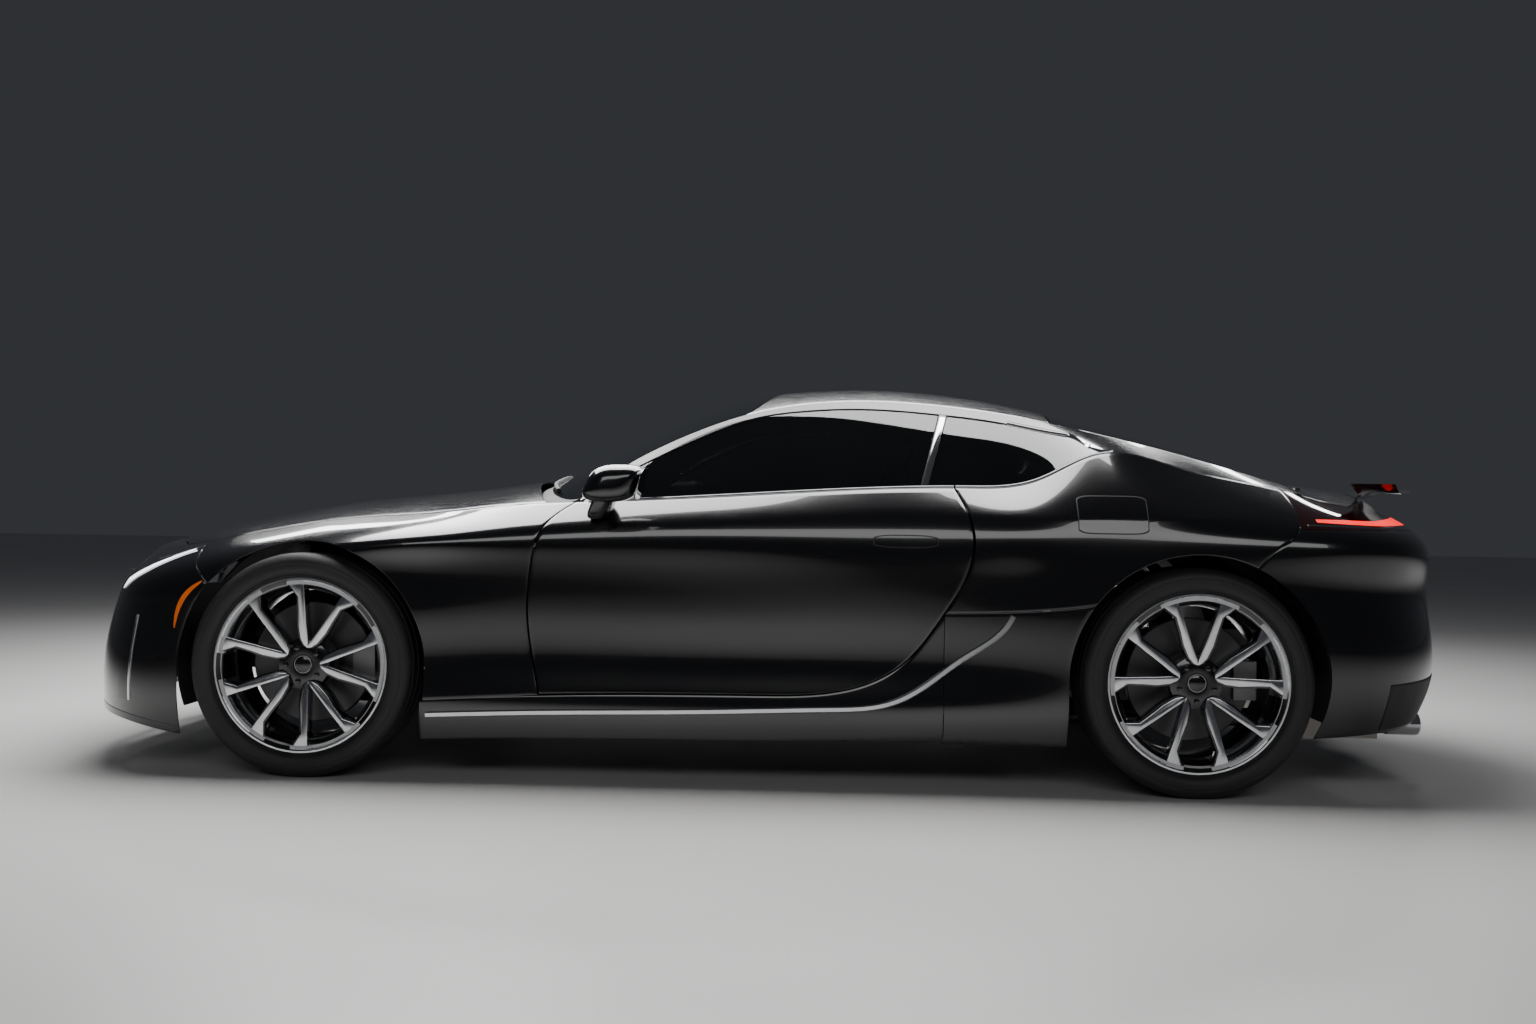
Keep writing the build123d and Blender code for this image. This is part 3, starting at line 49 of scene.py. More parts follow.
NOSE_CAP, TAIL_CAP, NOSE_ROUND, TAIL_ROUND = 0.600, 0.650, 2.5, 2.3
X_NOSE_CAP, X_TAIL_CAP = X_FRONT + NOSE_CAP, X_REAR - TAIL_CAP
S_NOSE = X_NOSE_CAP - NOSE_CAP * math.pi / 2
S_TAIL = X_TAIL_CAP + TAIL_CAP * math.pi / 2


def fore(offset):
    """A station measured from the front axle."""
    return X_AXLE_F + offset


def aft(offset):
    """A station measured from the rear axle."""
    return X_AXLE_R + offset


def mid(share):
    """A station between the axles, 0 at the front one and 1 at the rear one."""
    return X_AXLE_F + share * WHEELBASE


def nose(angle):
    """The station at a plan angle round the nose, in degrees from the centre plane."""
    return S_NOSE + (X_NOSE_CAP - S_NOSE) * angle / 90


def tail(angle):
    """The station at a plan angle round the tail, in degrees from the centre plane."""
    return S_TAIL - (S_TAIL - X_TAIL_CAP) * angle / 90


def bends(places, values):
    """The second derivatives of natural cubic splines, one per row of knots."""
    steps = np.diff(places, axis=1)
    slopes = np.diff(values, axis=1) / steps
    rows, count = places.shape
    system = np.zeros((rows, count, count))
    load = np.zeros((rows, count))
    system[:, 0, 0] = system[:, -1, -1] = 1
    for k in range(1, count - 1):
        system[:, k, k - 1] = steps[:, k - 1]
        system[:, k, k] = 2 * (steps[:, k - 1] + steps[:, k])
        system[:, k, k + 1] = steps[:, k]
        load[:, k] = 6 * (slopes[:, k] - slopes[:, k - 1])
    return np.linalg.solve(system, load[:, :, None])[:, :, 0]


def spline_rows(places, values, at):
    """One natural spline per row, each read at its own place."""
    bend = bends(places, values)
    rows, count = np.arange(len(at)), places.shape[1]
    i = np.clip((places < at[:, None]).sum(axis=1) - 1, 0, count - 2)
    p0, p1, v0, v1 = places[rows, i], places[rows, i + 1], values[rows, i], values[rows, i + 1]
    m0, m1 = bend[rows, i], bend[rows, i + 1]
    h, inside = p1 - p0, np.clip(at, places[:, 0], places[:, -1])
    a, b = p1 - inside, inside - p0
    value = (m0 * a**3 + m1 * b**3) / (6 * h) + (v0 / h - m0 * h / 6) * a + (v1 / h - m1 * h / 6) * b
    slope = (m1 * b**2 - m0 * a**2) / (2 * h) + (v1 - v0) / h - (m1 - m0) * h / 6
    return value + slope * (at - inside)


def spline(knots):
    """The natural cubic spline through (place, value) knots, straight past its ends."""
    places, values = np.array(knots, float).T

    def at(x):
        flat = np.atleast_1d(np.asarray(x, float)).ravel()
        rows = np.ones((len(flat), 1))
        return spline_rows(places * rows, values * rows, flat).reshape(np.shape(x))

    return at


def rounding(angle, power):
    """A rounded corner's shares of its length and width at a plan angle."""
    c, s = np.cos(angle), np.sin(angle)
    radius = (np.abs(c) ** power + np.abs(s) ** power) ** (-1 / power)
    return radius * c, radius * s


class Line:
    """One line round half the car: its inset from the full half width, and its height."""

    def __init__(self, nose_back, tail_back, inset, height):
        self.nose_back, self.tail_back = nose_back, tail_back
        self.inset, self.height = spline(inset), spline(height)

    def at(self, station):
        station = np.asarray(station, float)
        half, x = HALF - self.inset(station), station.copy()
        reach, across = rounding(np.clip((station - S_NOSE) / NOSE_CAP, -1.5, math.pi / 2), NOSE_ROUND)
        front = station < X_NOSE_CAP
        x = np.where(front, X_NOSE_CAP - (NOSE_CAP - self.nose_back) * reach, x)
        half = np.where(front, half * across, half)
        reach, across = rounding(np.clip((S_TAIL - station) / TAIL_CAP, -1.5, math.pi / 2), TAIL_ROUND)
        back = station > X_TAIL_CAP
        x = np.where(back, X_TAIL_CAP + (TAIL_CAP - self.tail_back) * reach, x)
        half = np.where(back, half * across, half)
        return x, half, self.height(station)


BOTTOM = Line(
    0.005, 0.065,
    [(nose(0), 0.060), (fore(-0.32), 0.060), (fore(0), 0.060), (mid(0.3), 0.050), (mid(0.8), 0.050),
     (aft(0.32), 0.060), (tail(0), 0.060)],
    [(nose(0), 0.160), (nose(60), 0.165), (fore(-0.4), 0.130), (fore(0.4), 0.130), (mid(0.5), 0.150),
     (mid(0.8), 0.156), (aft(-0.4), 0.150), (aft(0.345), 0.190), (tail(60), 0.205), (tail(0), 0.205)],
)
ROCKER = Line(
    0.012, 0.025,
    [(nose(0), 0.035), (fore(-0.32), 0.032), (fore(0.4), 0.032), (mid(0.5), 0.027), (mid(0.8), 0.022),
     (aft(0), 0.015), (aft(0.345), 0.025), (tail(0), 0.030)],
    [(nose(0), 0.262), (fore(-0.4), 0.250), (fore(0.4), 0.240), (mid(0.5), 0.248), (mid(0.8), 0.258),
     (aft(0.345), 0.292), (tail(0), 0.300)],
)
LOWER = Line(
    0.022, 0.005,
    [(nose(0), 0.030), (fore(-0.32), 0.030), (fore(0), 0.030), (fore(0.4), 0.046), (mid(0.35), 0.052),
     (mid(0.6), 0.050), (mid(0.8), 0.030), (aft(-0.3), 0.010), (aft(0.2), 0.004), (tail(0), 0.018)],
    [(nose(0), 0.400), (fore(0), 0.395), (mid(0.5), 0.385), (aft(0), 0.395), (tail(0), 0.400)],
)
MIDDLE = Line(
    0.068, 0.015,
    [(nose(0), 0.030), (fore(-0.32), 0.032), (fore(0), 0.022), (fore(0.4), 0.038), (mid(0.35), 0.046),
     (mid(0.6), 0.042), (mid(0.8), 0.024), (aft(-0.3), 0.005), (aft(0), 0.000), (aft(0.32), 0.008),
     (tail(0), 0.016)],
    [(nose(0), 0.545), (fore(0), 0.560), (mid(0.5), 0.540), (aft(0), 0.545), (tail(0), 0.520)],
)
UPPER = Line(
    0.106, 0.024,
    [(nose(0), 0.040), (fore(-0.32), 0.052), (fore(0), 0.034), (fore(0.4), 0.038), (mid(0.35), 0.042),
     (mid(0.6), 0.036), (mid(0.8), 0.026), (aft(-0.3), 0.012), (aft(0), 0.006), (aft(0.32), 0.020),
     (tail(0), 0.024)],
    [(nose(0), 0.645), (nose(70), 0.640), (fore(0), 0.700), (mid(0.5), 0.700), (aft(0), 0.705),
     (tail(0), 0.660)],
)
SHOULDER = Line(
    0.128, 0.076,
    [(nose(0), 0.090), (fore(-0.32), 0.108), (fore(0), 0.076), (fore(0.4), 0.060), (mid(0.26), 0.056),
     (mid(0.5), 0.056), (mid(0.75), 0.060), (aft(-0.3), 0.042), (aft(0), 0.038), (aft(0.32), 0.058),
     (tail(0), 0.060)],
    [(nose(0), 0.700), (nose(60), 0.672), (fore(-0.32), 0.712), (fore(0), 0.762), (fore(0.4), 0.800),
     (mid(0.26), 0.815), (mid(0.5), 0.850), (mid(0.75), 0.872), (aft(0), 0.872), (aft(0.32), 0.866),
     (tail(0), 0.850)],
)
EDGE = Line(
    0.145, 0.130,
    [(nose(0), 0.290), (fore(-0.32), 0.290), (fore(0), 0.285), (fore(0.4), 0.255), (mid(0.2), 0.205),
     (mid(0.27), 0.160), (mid(0.35), 0.138), (mid(0.5), 0.134), (mid(0.75), 0.150), (aft(-0.3), 0.200),
     (aft(0), 0.242), (aft(0.32), 0.290), (tail(0), 0.300)],
    [(nose(0), 0.748), (nose(60), 0.735), (fore(-0.32), 0.775), (fore(0), 0.832), (fore(0.4), 0.868),
     (mid(0.2), 0.888), (mid(0.31), 0.907), (mid(0.5), 0.937), (mid(0.75), 0.971), (mid(0.83), 1.000),
     (aft(-0.3), 1.085), (aft(0), 1.045), (aft(0.32), 0.985), (aft(0.46), 0.955), (tail(0), 0.940)],
)
LINES = [BOTTOM, ROCKER, LOWER, MIDDLE, UPPER, SHOULDER, EDGE]


def flank(station, height):
    """Points of the left side at stations and heights."""
    station, height = np.broadcast_arrays(np.asarray(station, float), np.asarray(height, float))
    shape, s, z = station.shape, station.ravel(), height.ravel()
    rows = [line.at(s) for line in LINES]
    xs, ys, zs = (np.stack([row[k] for row in rows], axis=1) for k in range(3))
    x, y = spline_rows(zs, xs, z), spline_rows(zs, ys, z)
    return np.stack([x, -(y + folded(s, z)), z], axis=1).reshape(*shape, 3)


def fold(points):
    """A fold's height along the side, between its two ends."""
    line = spline(points)
    return line, points[0][0], points[-1][0]


# Each fold's line, how far it stands out, and how fast it fades above and below.
BELT_FOLD = [(-1.09, 0.768), (-0.90, 0.803), (-0.60, 0.828), (-0.175, 0.846), (0.145, 0.868),
             (0.463, 0.886), (0.78, 0.880), (1.10, 0.876), (1.41, 0.880), (1.72, 0.884)]
WING_FOLD = [(-1.45, 0.800), (-1.25, 0.815), (-1.10, 0.838), (-0.90, 0.868), (-0.70, 0.887)]
FOLDS = [(fold(BELT_FOLD), 0.0045, 0.045, 0.020), (fold(WING_FOLD), 0.0040, 0.018, 0.022)]


def folded(station, height):
    """How far the pressed folds stand out of the side's skin."""
    out = 0.0
    for (line, start, end), rise, above, below in FOLDS:
        t = np.clip((station - start) / (end - start), 0, 1)
        fade = np.clip(np.minimum(t, 1 - t) / 0.15, 0, 1)
        away = height - line(np.clip(station, start, end))
        falloff = np.where(away > 0, np.exp(-away / above), np.exp(away / below))
        out = out + rise * fade * fade * (3 - 2 * fade) * falloff
    return out


def where(points):
    """Where a line's own points lie on it, from 0 to 1 by its length."""
    steps = np.linalg.norm(np.diff(np.array(points, float), axis=0), axis=1)
    runs = np.concatenate([[0], np.cumsum(steps)])
    return runs / runs[-1]


def curve(*points):
    """A smooth curve through points, run from 0 to 1 by its length."""
    places, points = where(points), np.array(points, float)
    axes = [spline(np.stack([places, points[:, k]], axis=1)) for k in range(points.shape[1])]
    return lambda t: np.stack([axis(np.asarray(t, float)) for axis in axes], axis=-1)


def chain(*legs):
    """Curves end to end as one, run from 0 to 1 by its length."""
    dense = np.concatenate([leg(np.linspace(0, 1, 60)) for leg in legs])
    places = where(dense)
    return lambda t: np.stack([np.interp(t, places, column) for column in dense.T], axis=-1)


def straight(start, end):
    """A straight line between two points."""
    start, end = np.array(start, float), np.array(end, float)
    return lambda t: start + (end - start) * np.asarray(t, float)[..., None]


def part_of(bend, start, end):
    """The stretch of a curve between two of its places."""
    return lambda t: bend(start + (end - start) * np.asarray(t, float))


def coons(low, high, start, end):
    """The patch between four curves: low and high run from start to end."""

    def at(u, v):
        u, v = np.asarray(u, float), np.asarray(v, float)
        a, b = u[..., None], v[..., None]
        zero, one = np.zeros(1), np.ones(1)
        corners = ((1 - a) * (1 - b) * low(zero) + a * (1 - b) * low(one)
                   + (1 - a) * b * high(zero) + a * b * high(one))
        return (1 - b) * low(u) + b * high(u) + (1 - a) * start(v) + a * end(v) - corners

    return at


def on_flank(plane):
    """A patch of the side from a patch of (station, height)."""

    def at(u, v):
        places = plane(u, v)
        return flank(places[..., 0], places[..., 1])

    return at


HEART = np.array([0.0, 0.0, 0.55])
SIDES = ((-1, "left"), (1, "right"))
SMOOTH_ANGLE, CREASE_ANGLE, PLATE_ANGLE, STRIP_ANGLE = 38, 50, 35, 30


def mirrored(points):
    """The same points on the right side."""
    return points * np.array([1, -1, 1])


def chosen(piece):
    """Selects a piece alone and makes it the active one."""
    bpy.ops.object.select_all(action="DESELECT")
    piece.select_set(True)
    bpy.context.view_layer.objects.active = piece


def smoothed(angle=SMOOTH_ANGLE):
    """Shades the selected piece smooth, but for edges sharper than an angle in degrees."""
    bpy.ops.object.shade_smooth_by_angle(angle=math.radians(angle))


def laid_grid(name, points):
    """A grid laid onto a surface as rows of points, facing away from the car's middle."""
    rows, columns = points.shape[0] - 1, points.shape[1] - 1
    bpy.ops.object.select_all(action="DESELECT")
    bpy.ops.mesh.primitive_grid_add(x_subdivisions=rows, y_subdivisions=columns, size=1)
    piece = bpy.context.object
    piece.name = piece.data.name = name
    mesh = piece.data
    flat = np.empty(len(mesh.vertices) * 3)
    mesh.vertices.foreach_get("co", flat)
    places = flat.reshape(-1, 3)
    i = np.rint((places[:, 0] + 0.5) * rows).astype(int)
    j = np.rint((places[:, 1] + 0.5) * columns).astype(int)
    mesh.vertices.foreach_set("co", points[i, j].ravel())
    across = np.cross(points[-1, columns // 2] - points[0, columns // 2],
                      points[rows // 2, -1] - points[rows // 2, 0])
    if across @ (points[rows // 2, columns // 2] - HEART) < 0:
        mesh.flip_normals()
    mesh.update()
    return piece


def thicken(piece, depth, rolled=0.0):
    """Gives a laid grid its thickness inwards, and rolls its edges."""
    chosen(piece)
    wall = piece.modifiers.new("wall", "SOLIDIFY")
    wall.thickness, wall.offset, wall.use_even_offset = depth, -1, True
    bpy.ops.object.modifier_apply(modifier=wall.name)
    if rolled:
        edge = piece.modifiers.new("edge", "BEVEL")
        edge.width, edge.segments = rolled, 2
        edge.limit_method, edge.angle_limit = "ANGLE", math.radians(CREASE_ANGLE)
        edge.use_clamp_overlap = False
        bpy.ops.object.modifier_apply(modifier=edge.name)
    smoothed()
    return piece


def skin(name, patch, cells, depth=0.005, rolled=0.0012, gaps=(0, 0, 0, 0), side=-1, lift=0.0):
    """A pressed panel on a patch; gaps hold back its start, end, low and high edges."""
    rough = np.linspace(0, 1, 25)
    line_u = patch(rough[:, None], np.full((25, 1), 0.5))[:, 0]
    line_v = patch(np.full((1, 25), 0.5), rough[None, :])[0]
    run_u, run_v = (np.linalg.norm(np.diff(line, axis=0), axis=1).sum() for line in (line_u, line_v))
    u = np.linspace(gaps[0] / run_u, 1 - gaps[1] / run_u, cells[0] + 1)
    v = np.linspace(gaps[2] / run_v, 1 - gaps[3] / run_v, cells[1] + 1)
    points = patch(*np.meshgrid(u, v, indexing="ij"))
    if lift:
        normals = np.cross(np.gradient(points, axis=0), np.gradient(points, axis=1))
        normals /= np.linalg.norm(normals, axis=2, keepdims=True)
        outwards = np.sign(np.sum(normals * (points - HEART), axis=2, keepdims=True))
        points = points + outwards * normals * lift
    if side > 0:
        points = mirrored(points)
    return thicken(laid_grid(name, points), depth, rolled)


# ------------------------------------------------------------ paint
# Black paint over steel and aluminium: a deep colour coat with a fine flake, under a clear
# coat that has the faint ripple of sprayed lacquer. Every painted skin wears it.
def texture_group(name, scale, detail, rough):
    """A shared noise, put out as a mask and a height, on a piece's own coordinates."""
    group = bpy.data.node_groups.new(name, "ShaderNodeTree")
    for socket, value in (("Scale", scale), ("Low", 0.0), ("High", 1.0)):
        made = group.interface.new_socket(socket, in_out="INPUT", socket_type="NodeSocketFloat")
        made.default_value = value
    group.interface.new_socket("Mask", in_out="OUTPUT", socket_type="NodeSocketFloat")
    add, link = group.nodes.new, group.links.new
    source, sink, place = add("NodeGroupInput"), add("NodeGroupOutput"), add("ShaderNodeTexCoord")
    noise, spread = add("ShaderNodeTexNoise"), add("ShaderNodeMapRange")
    noise.inputs["Detail"].default_value, noise.inputs["Roughness"].default_value = detail, rough
    link(place.outputs["Object"], noise.inputs["Vector"])
    link(source.outputs["Scale"], noise.inputs["Scale"])
    link(noise.outputs["Fac"], spread.inputs["Value"])
    spread.inputs["From Min"].default_value, spread.inputs["From Max"].default_value = 0.25, 0.75
    link(source.outputs["Low"], spread.inputs["To Min"])
    link(source.outputs["High"], spread.inputs["To Max"])
    link(spread.outputs["Result"], sink.inputs["Mask"])
    return group


grain_group = texture_group("fine grain", 400.0, 3.0, 0.6)
cloud_group = texture_group("broad clouding", 6.0, 4.0, 0.55)


def finish(name, colour, other=None, roughness=(0.3, 0.35), metallic=0.0, coat=0.0, coat_roughness=0.03,
           bump=0.0, grain=400.0, cloud=6.0, specular=0.5, emission=None, strength=0.0):
    """A material whose colour and gloss drift in broad clouds and whose surface varies in fine grain."""
    made = bpy.data.materials.new(name)
    made.use_nodes = True
    nodes, link = made.node_tree.nodes, made.node_tree.links.new
    shader = nodes["Principled BSDF"]
    broad, fine = nodes.new("ShaderNodeGroup"), nodes.new("ShaderNodeGroup")
    broad.node_tree, fine.node_tree = cloud_group, grain_group
    broad.inputs["Scale"].default_value, fine.inputs["Scale"].default_value = cloud, grain
    blend = nodes.new("ShaderNodeMix")
    blend.data_type = "RGBA"
    blend.inputs["A"].default_value = (*colour, 1)
    blend.inputs["B"].default_value = (*(other or [c * 0.8 for c in colour]), 1)
    link(broad.outputs["Mask"], blend.inputs["Factor"])
    link(blend.outputs["Result"], shader.inputs["Base Color"])
    level = nodes.new("ShaderNodeMapRange")
    level.inputs["To Min"].default_value, level.inputs["To Max"].default_value = roughness
    link(broad.outputs["Mask"], level.inputs["Value"])
    link(level.outputs["Result"], shader.inputs["Roughness"])
    shader.inputs["Metallic"].default_value = metallic
    shader.inputs["Coat Weight"].default_value = coat
    shader.inputs["Coat Roughness"].default_value = coat_roughness
    shader.inputs["Specular IOR Level"].default_value = specular
    if emission:
        shader.inputs["Emission Color"].default_value = (*emission, 1)
        shader.inputs["Emission Strength"].default_value = strength
    if bump:
        relief = nodes.new("ShaderNodeBump")
        relief.inputs["Strength"].default_value = 1.0
        relief.inputs["Distance"].default_value = bump
        link(fine.outputs["Mask"], relief.inputs["Height"])
        link(relief.outputs["Normal"], shader.inputs["Normal"])
    return made


paint = finish("black paint", (0.0035, 0.0035, 0.0045), (0.002, 0.002, 0.0025), roughness=(0.16, 0.2),
               coat=1.0, coat_roughness=0.012, bump=0.000002, grain=900.0, specular=0.5)


def wear(piece, material):
    """Gives a piece its one material."""
    piece.data.materials.clear()
    piece.data.materials.append(material)
    return piece


def fixed(piece, material, body="body", node=None):
    """Dresses a piece, fixes it to a body, and hides the plain part that it stands for."""
    wear(piece, material)
    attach(piece, body)
    if node:
        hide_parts(node)
    return piece


# ------------------------------------------------------------ front wings
# Pressed panels from the headlamp to the door, open over the wheel. Each is bolted along
# its top edge and to the sill.
ARCH, ARCH_F_HEIGHT, ARCH_R_HEIGHT = 0.405, 0.3645, 0.363
SHUT_GAP, SEAM, TUCK = 0.0035, 0.001, 0.0005


def arch(axle, height, start, end):
    """A wheel arch's edge between two angles from straight ahead, over the top."""
    def at(t):
        angle = np.radians(start + (end - start) * np.asarray(t, float))
        return np.stack([axle - ARCH * np.cos(angle), height + ARCH * np.sin(angle)], axis=-1)

    return at


def belt(start, end):
    """The body's upper edge as a curve of (station, height)."""
    def at(t):
        station = start + (end - start) * np.asarray(t, float)
        return np.stack([station, EDGE.height(station)], axis=-1)

    return at


def sill(start, end):
    """The body's bottom edge as a curve of (station, height)."""
    def at(t):
        station = start + (end - start) * np.asarray(t, float)
        return np.stack([station, BOTTOM.height(station)], axis=-1)

    return at


def eased(bend, amount):
    """The same curve run faster over its first half, so that lines to it fan out over an arch."""
    def at(t):
        t = np.asarray(t, float)
        return bend(t + amount * np.abs(np.sin(np.pi * t)) ** 1.5)

    return at


def meets_arch(bend, start, end, axle, height):
    """The place between two on a curve that leaves or enters a wheel arch, and its angle."""
    t = np.linspace(start, end, 400)
    x, z = bend(t).T
    away = np.hypot(x - axle, z - height) - ARCH
    k = int(np.argmax(away[:-1] * away[1:] <= 0))
    t_meet = t[k] + (t[k + 1] - t[k]) * away[k] / (away[k] - away[k + 1])
    x, z = bend(t_meet)
    return t_meet, math.degrees(math.atan2(z - height, axle - x))


LAMP_INNER, LAMP_OUTER = nose(34), nose(79)
WING_CORNER_ANGLE = 40
wing_corner = arch(X_AXLE_F, ARCH_F_HEIGHT, WING_CORNER_ANGLE, 90)(0.0)
lamp_corner = np.array([LAMP_OUTER, 0.735])
DOOR_START = np.array([mid(0.272), 0.286])
DOOR_BEND = np.array([mid(0.628), 0.333])
QUARTER_FOOT = np.array([mid(0.7226), 0.570])
DOOR_TOP_FRONT = np.array([mid(0.303), float(EDGE.height(mid(0.303)))])
DOOR_TOP_REAR = np.array([mid(0.735), float(EDGE.height(mid(0.735)))])
door_front = curve(DOOR_START, (mid(0.257), 0.523), (mid(0.2596), 0.695), (mid(0.276), 0.841),
                   DOOR_TOP_FRONT)
arch_foot = np.array([fore(ARCH), 0.257])
wing_plane = coons(
    chain(arch(X_AXLE_F, ARCH_F_HEIGHT, WING_CORNER_ANGLE, 180),
          straight((fore(ARCH), ARCH_F_HEIGHT), arch_foot), straight(arch_foot, DOOR_START)),
    eased(belt(LAMP_OUTER, DOOR_TOP_FRONT[0]), 0.12),
    chain(straight(wing_corner, lamp_corner),
          straight(lamp_corner, (LAMP_OUTER, float(EDGE.height(LAMP_OUTER))))),
    door_front,
)
for side, hand in SIDES:
    wing = skin(f"wing_{hand}", on_flank(wing_plane), (110, 44), gaps=(0.002, 0.0025, 0, TUCK), side=side)
    fixed(wing, paint, "body", f"fender_{hand}")

# ------------------------------------------------------------ doors
# One long door each side: a pressed outer skin hemmed over a frame, and a trimmed card
# inside. It hangs on two hinges behind its leading edge.
OUTLINE = [(fore(0.33), 0.260), DOOR_START, (mid(0.519), 0.300), DOOR_BEND, (mid(0.679), 0.410),
           QUARTER_FOOT, (mid(0.7453), 0.681), (mid(0.754), 0.800), (mid(0.748), 0.890), DOOR_TOP_REAR]


CARD_DEPTH, CARD_INSIDE = 0.03, 0.070
outline = curve(*OUTLINE)
AT_START, AT_BEND, AT_FOOT = (where(OUTLINE)[k] for k in (1, 3, 5))
door_plane = coons(part_of(outline, AT_START, AT_BEND), belt(DOOR_TOP_FRONT[0], DOOR_TOP_REAR[0]),
                   door_front, part_of(outline, AT_BEND, 1))
for side, hand in SIDES:
    door = skin(f"door_skin_{hand}", on_flank(door_plane), (110, 48), depth=0.004,
                gaps=(SHUT_GAP, SHUT_GAP, SHUT_GAP, TUCK), side=side)
    card = skin(f"door_card_{hand}", on_flank(door_plane), (60, 24), depth=CARD_DEPTH, rolled=0.004,
                gaps=(0.16, 0.05, 0.03, 0.02), side=side, lift=-CARD_INSIDE)
    fixed(door, paint, f"door_{hand}", f"door_{hand}")
    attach(card, f"door_{hand}")

# ------------------------------------------------------------ rear quarters
# The haunches: deep pressed panels from the door to the tail lamp, open over the rear
# wheel, welded to the roof pillar above.
QUARTER_LOW = [QUARTER_FOOT, (aft(-0.326), 0.604), (aft(-0.10), 0.650), (aft(0.16), 0.700)]
quarter_low = curve(*QUARTER_LOW)
TAIL_LAMP_LOW = 0.853
REAR_CUT = [(aft(0.330), 0.190), (aft(0.190), 0.480), (aft(0.160), 0.700), (aft(0.235), 0.790),
            (aft(0.310), TAIL_LAMP_LOW), (aft(0.332), float(EDGE.height(aft(0.332))))]
rear_cut = curve(*REAR_CUT)
AT_HAUNCH, AT_TAIL_LAMP = where(REAR_CUT)[2], where(REAR_CUT)[4]
AT_ARCH, HAUNCH_FOOT = meets_arch(quarter_low, 0.1, 0.6, X_AXLE_R, ARCH_R_HEIGHT)
AT_WHEEL, HAUNCH_TAIL = meets_arch(rear_cut, AT_HAUNCH, AT_TAIL_LAMP, X_AXLE_R, ARCH_R_HEIGHT)
quarter_plane = coons(
    chain(part_of(quarter_low, 0, AT_ARCH), arch(X_AXLE_R, ARCH_R_HEIGHT, HAUNCH_FOOT, HAUNCH_TAIL)),
    belt(DOOR_TOP_REAR[0], aft(0.332)), part_of(outline, AT_FOOT, 1), part_of(rear_cut, AT_WHEEL, 1),
)
for side, hand in SIDES:
    quarter = skin(f"quarter_{hand}", on_flank(quarter_plane), (120, 52), gaps=(SHUT_GAP, SEAM, SEAM, TUCK),
                   side=side)
    fixed(quarter, paint, "body", f"quarter_panel_{hand}")

# ------------------------------------------------------------ sills
# The painted sills below the doors, from wheel to wheel. Each is a front piece under the
# door's curved foot and a rear piece up to the wheel arch.
SILL_SPLIT = QUARTER_FOOT[0]
AT_FRONT_ARCH = meets_arch(outline, 0, AT_START, X_AXLE_F, ARCH_F_HEIGHT)[0]
skirt_front_plane = coons(
    sill(fore(ARCH - 0.010), SILL_SPLIT), part_of(outline, AT_FRONT_ARCH, AT_FOOT),
    straight((fore(ARCH - 0.010), float(BOTTOM.height(fore(ARCH)))), tuple(outline(AT_FRONT_ARCH))),
    straight((SILL_SPLIT, float(BOTTOM.height(SILL_SPLIT))), QUARTER_FOOT),
)
rear_sill_arch = arch(X_AXLE_R, ARCH_R_HEIGHT, 0.0, HAUNCH_FOOT)
sill_end = (aft(-ARCH), float(BOTTOM.height(aft(-ARCH))))
skirt_rear_plane = coons(
    sill(SILL_SPLIT, aft(-ARCH)), part_of(quarter_low, 0, AT_ARCH),
    straight((SILL_SPLIT, float(BOTTOM.height(SILL_SPLIT))), QUARTER_FOOT),
    chain(straight(sill_end, (aft(-ARCH), ARCH_R_HEIGHT)), rear_sill_arch),
)
for side, hand in SIDES:
    for name, plane, cells, gaps in (
        ("front", skirt_front_plane, (110, 16), (SEAM, SEAM, 0, SHUT_GAP)),
        ("rear", skirt_rear_plane, (24, 30), (SEAM, 0, 0, SEAM)),
    ):
        skirt = skin(f"skirt_{name}_{hand}", on_flank(plane), cells, gaps=gaps, side=side)
        fixed(skirt, paint, "body", "side_skirts")

# ------------------------------------------------------------ nose and bumpers
# One wrapped plastic cover at each end, painted with the body. The front one is cut for the
# hourglass grille, and the rear one for the wheels and the exhaust tips.
BUMPER_TOP = [(nose(0), 0.530), (LAMP_INNER, 0.532), (nose(46), 0.552), (nose(58), 0.636),
              (nose(68), 0.695), (LAMP_OUTER, 0.735)]
bumper_top = curve(*BUMPER_TOP)
AT_LAMP = where(BUMPER_TOP)[1]
BONNET_LIP, LID_LIP = 0.028, 0.022
BONNET_CORNER, LID_CORNER = nose(66), tail(62)
TAIL_LAMP_INNER, TAIL_LAMP_OUTER = tail(38), aft(0.340)
x_bonnet_tip, x_lid_tip = X_FRONT + 0.145 + BONNET_LIP, X_REAR - 0.130 - LID_LIP

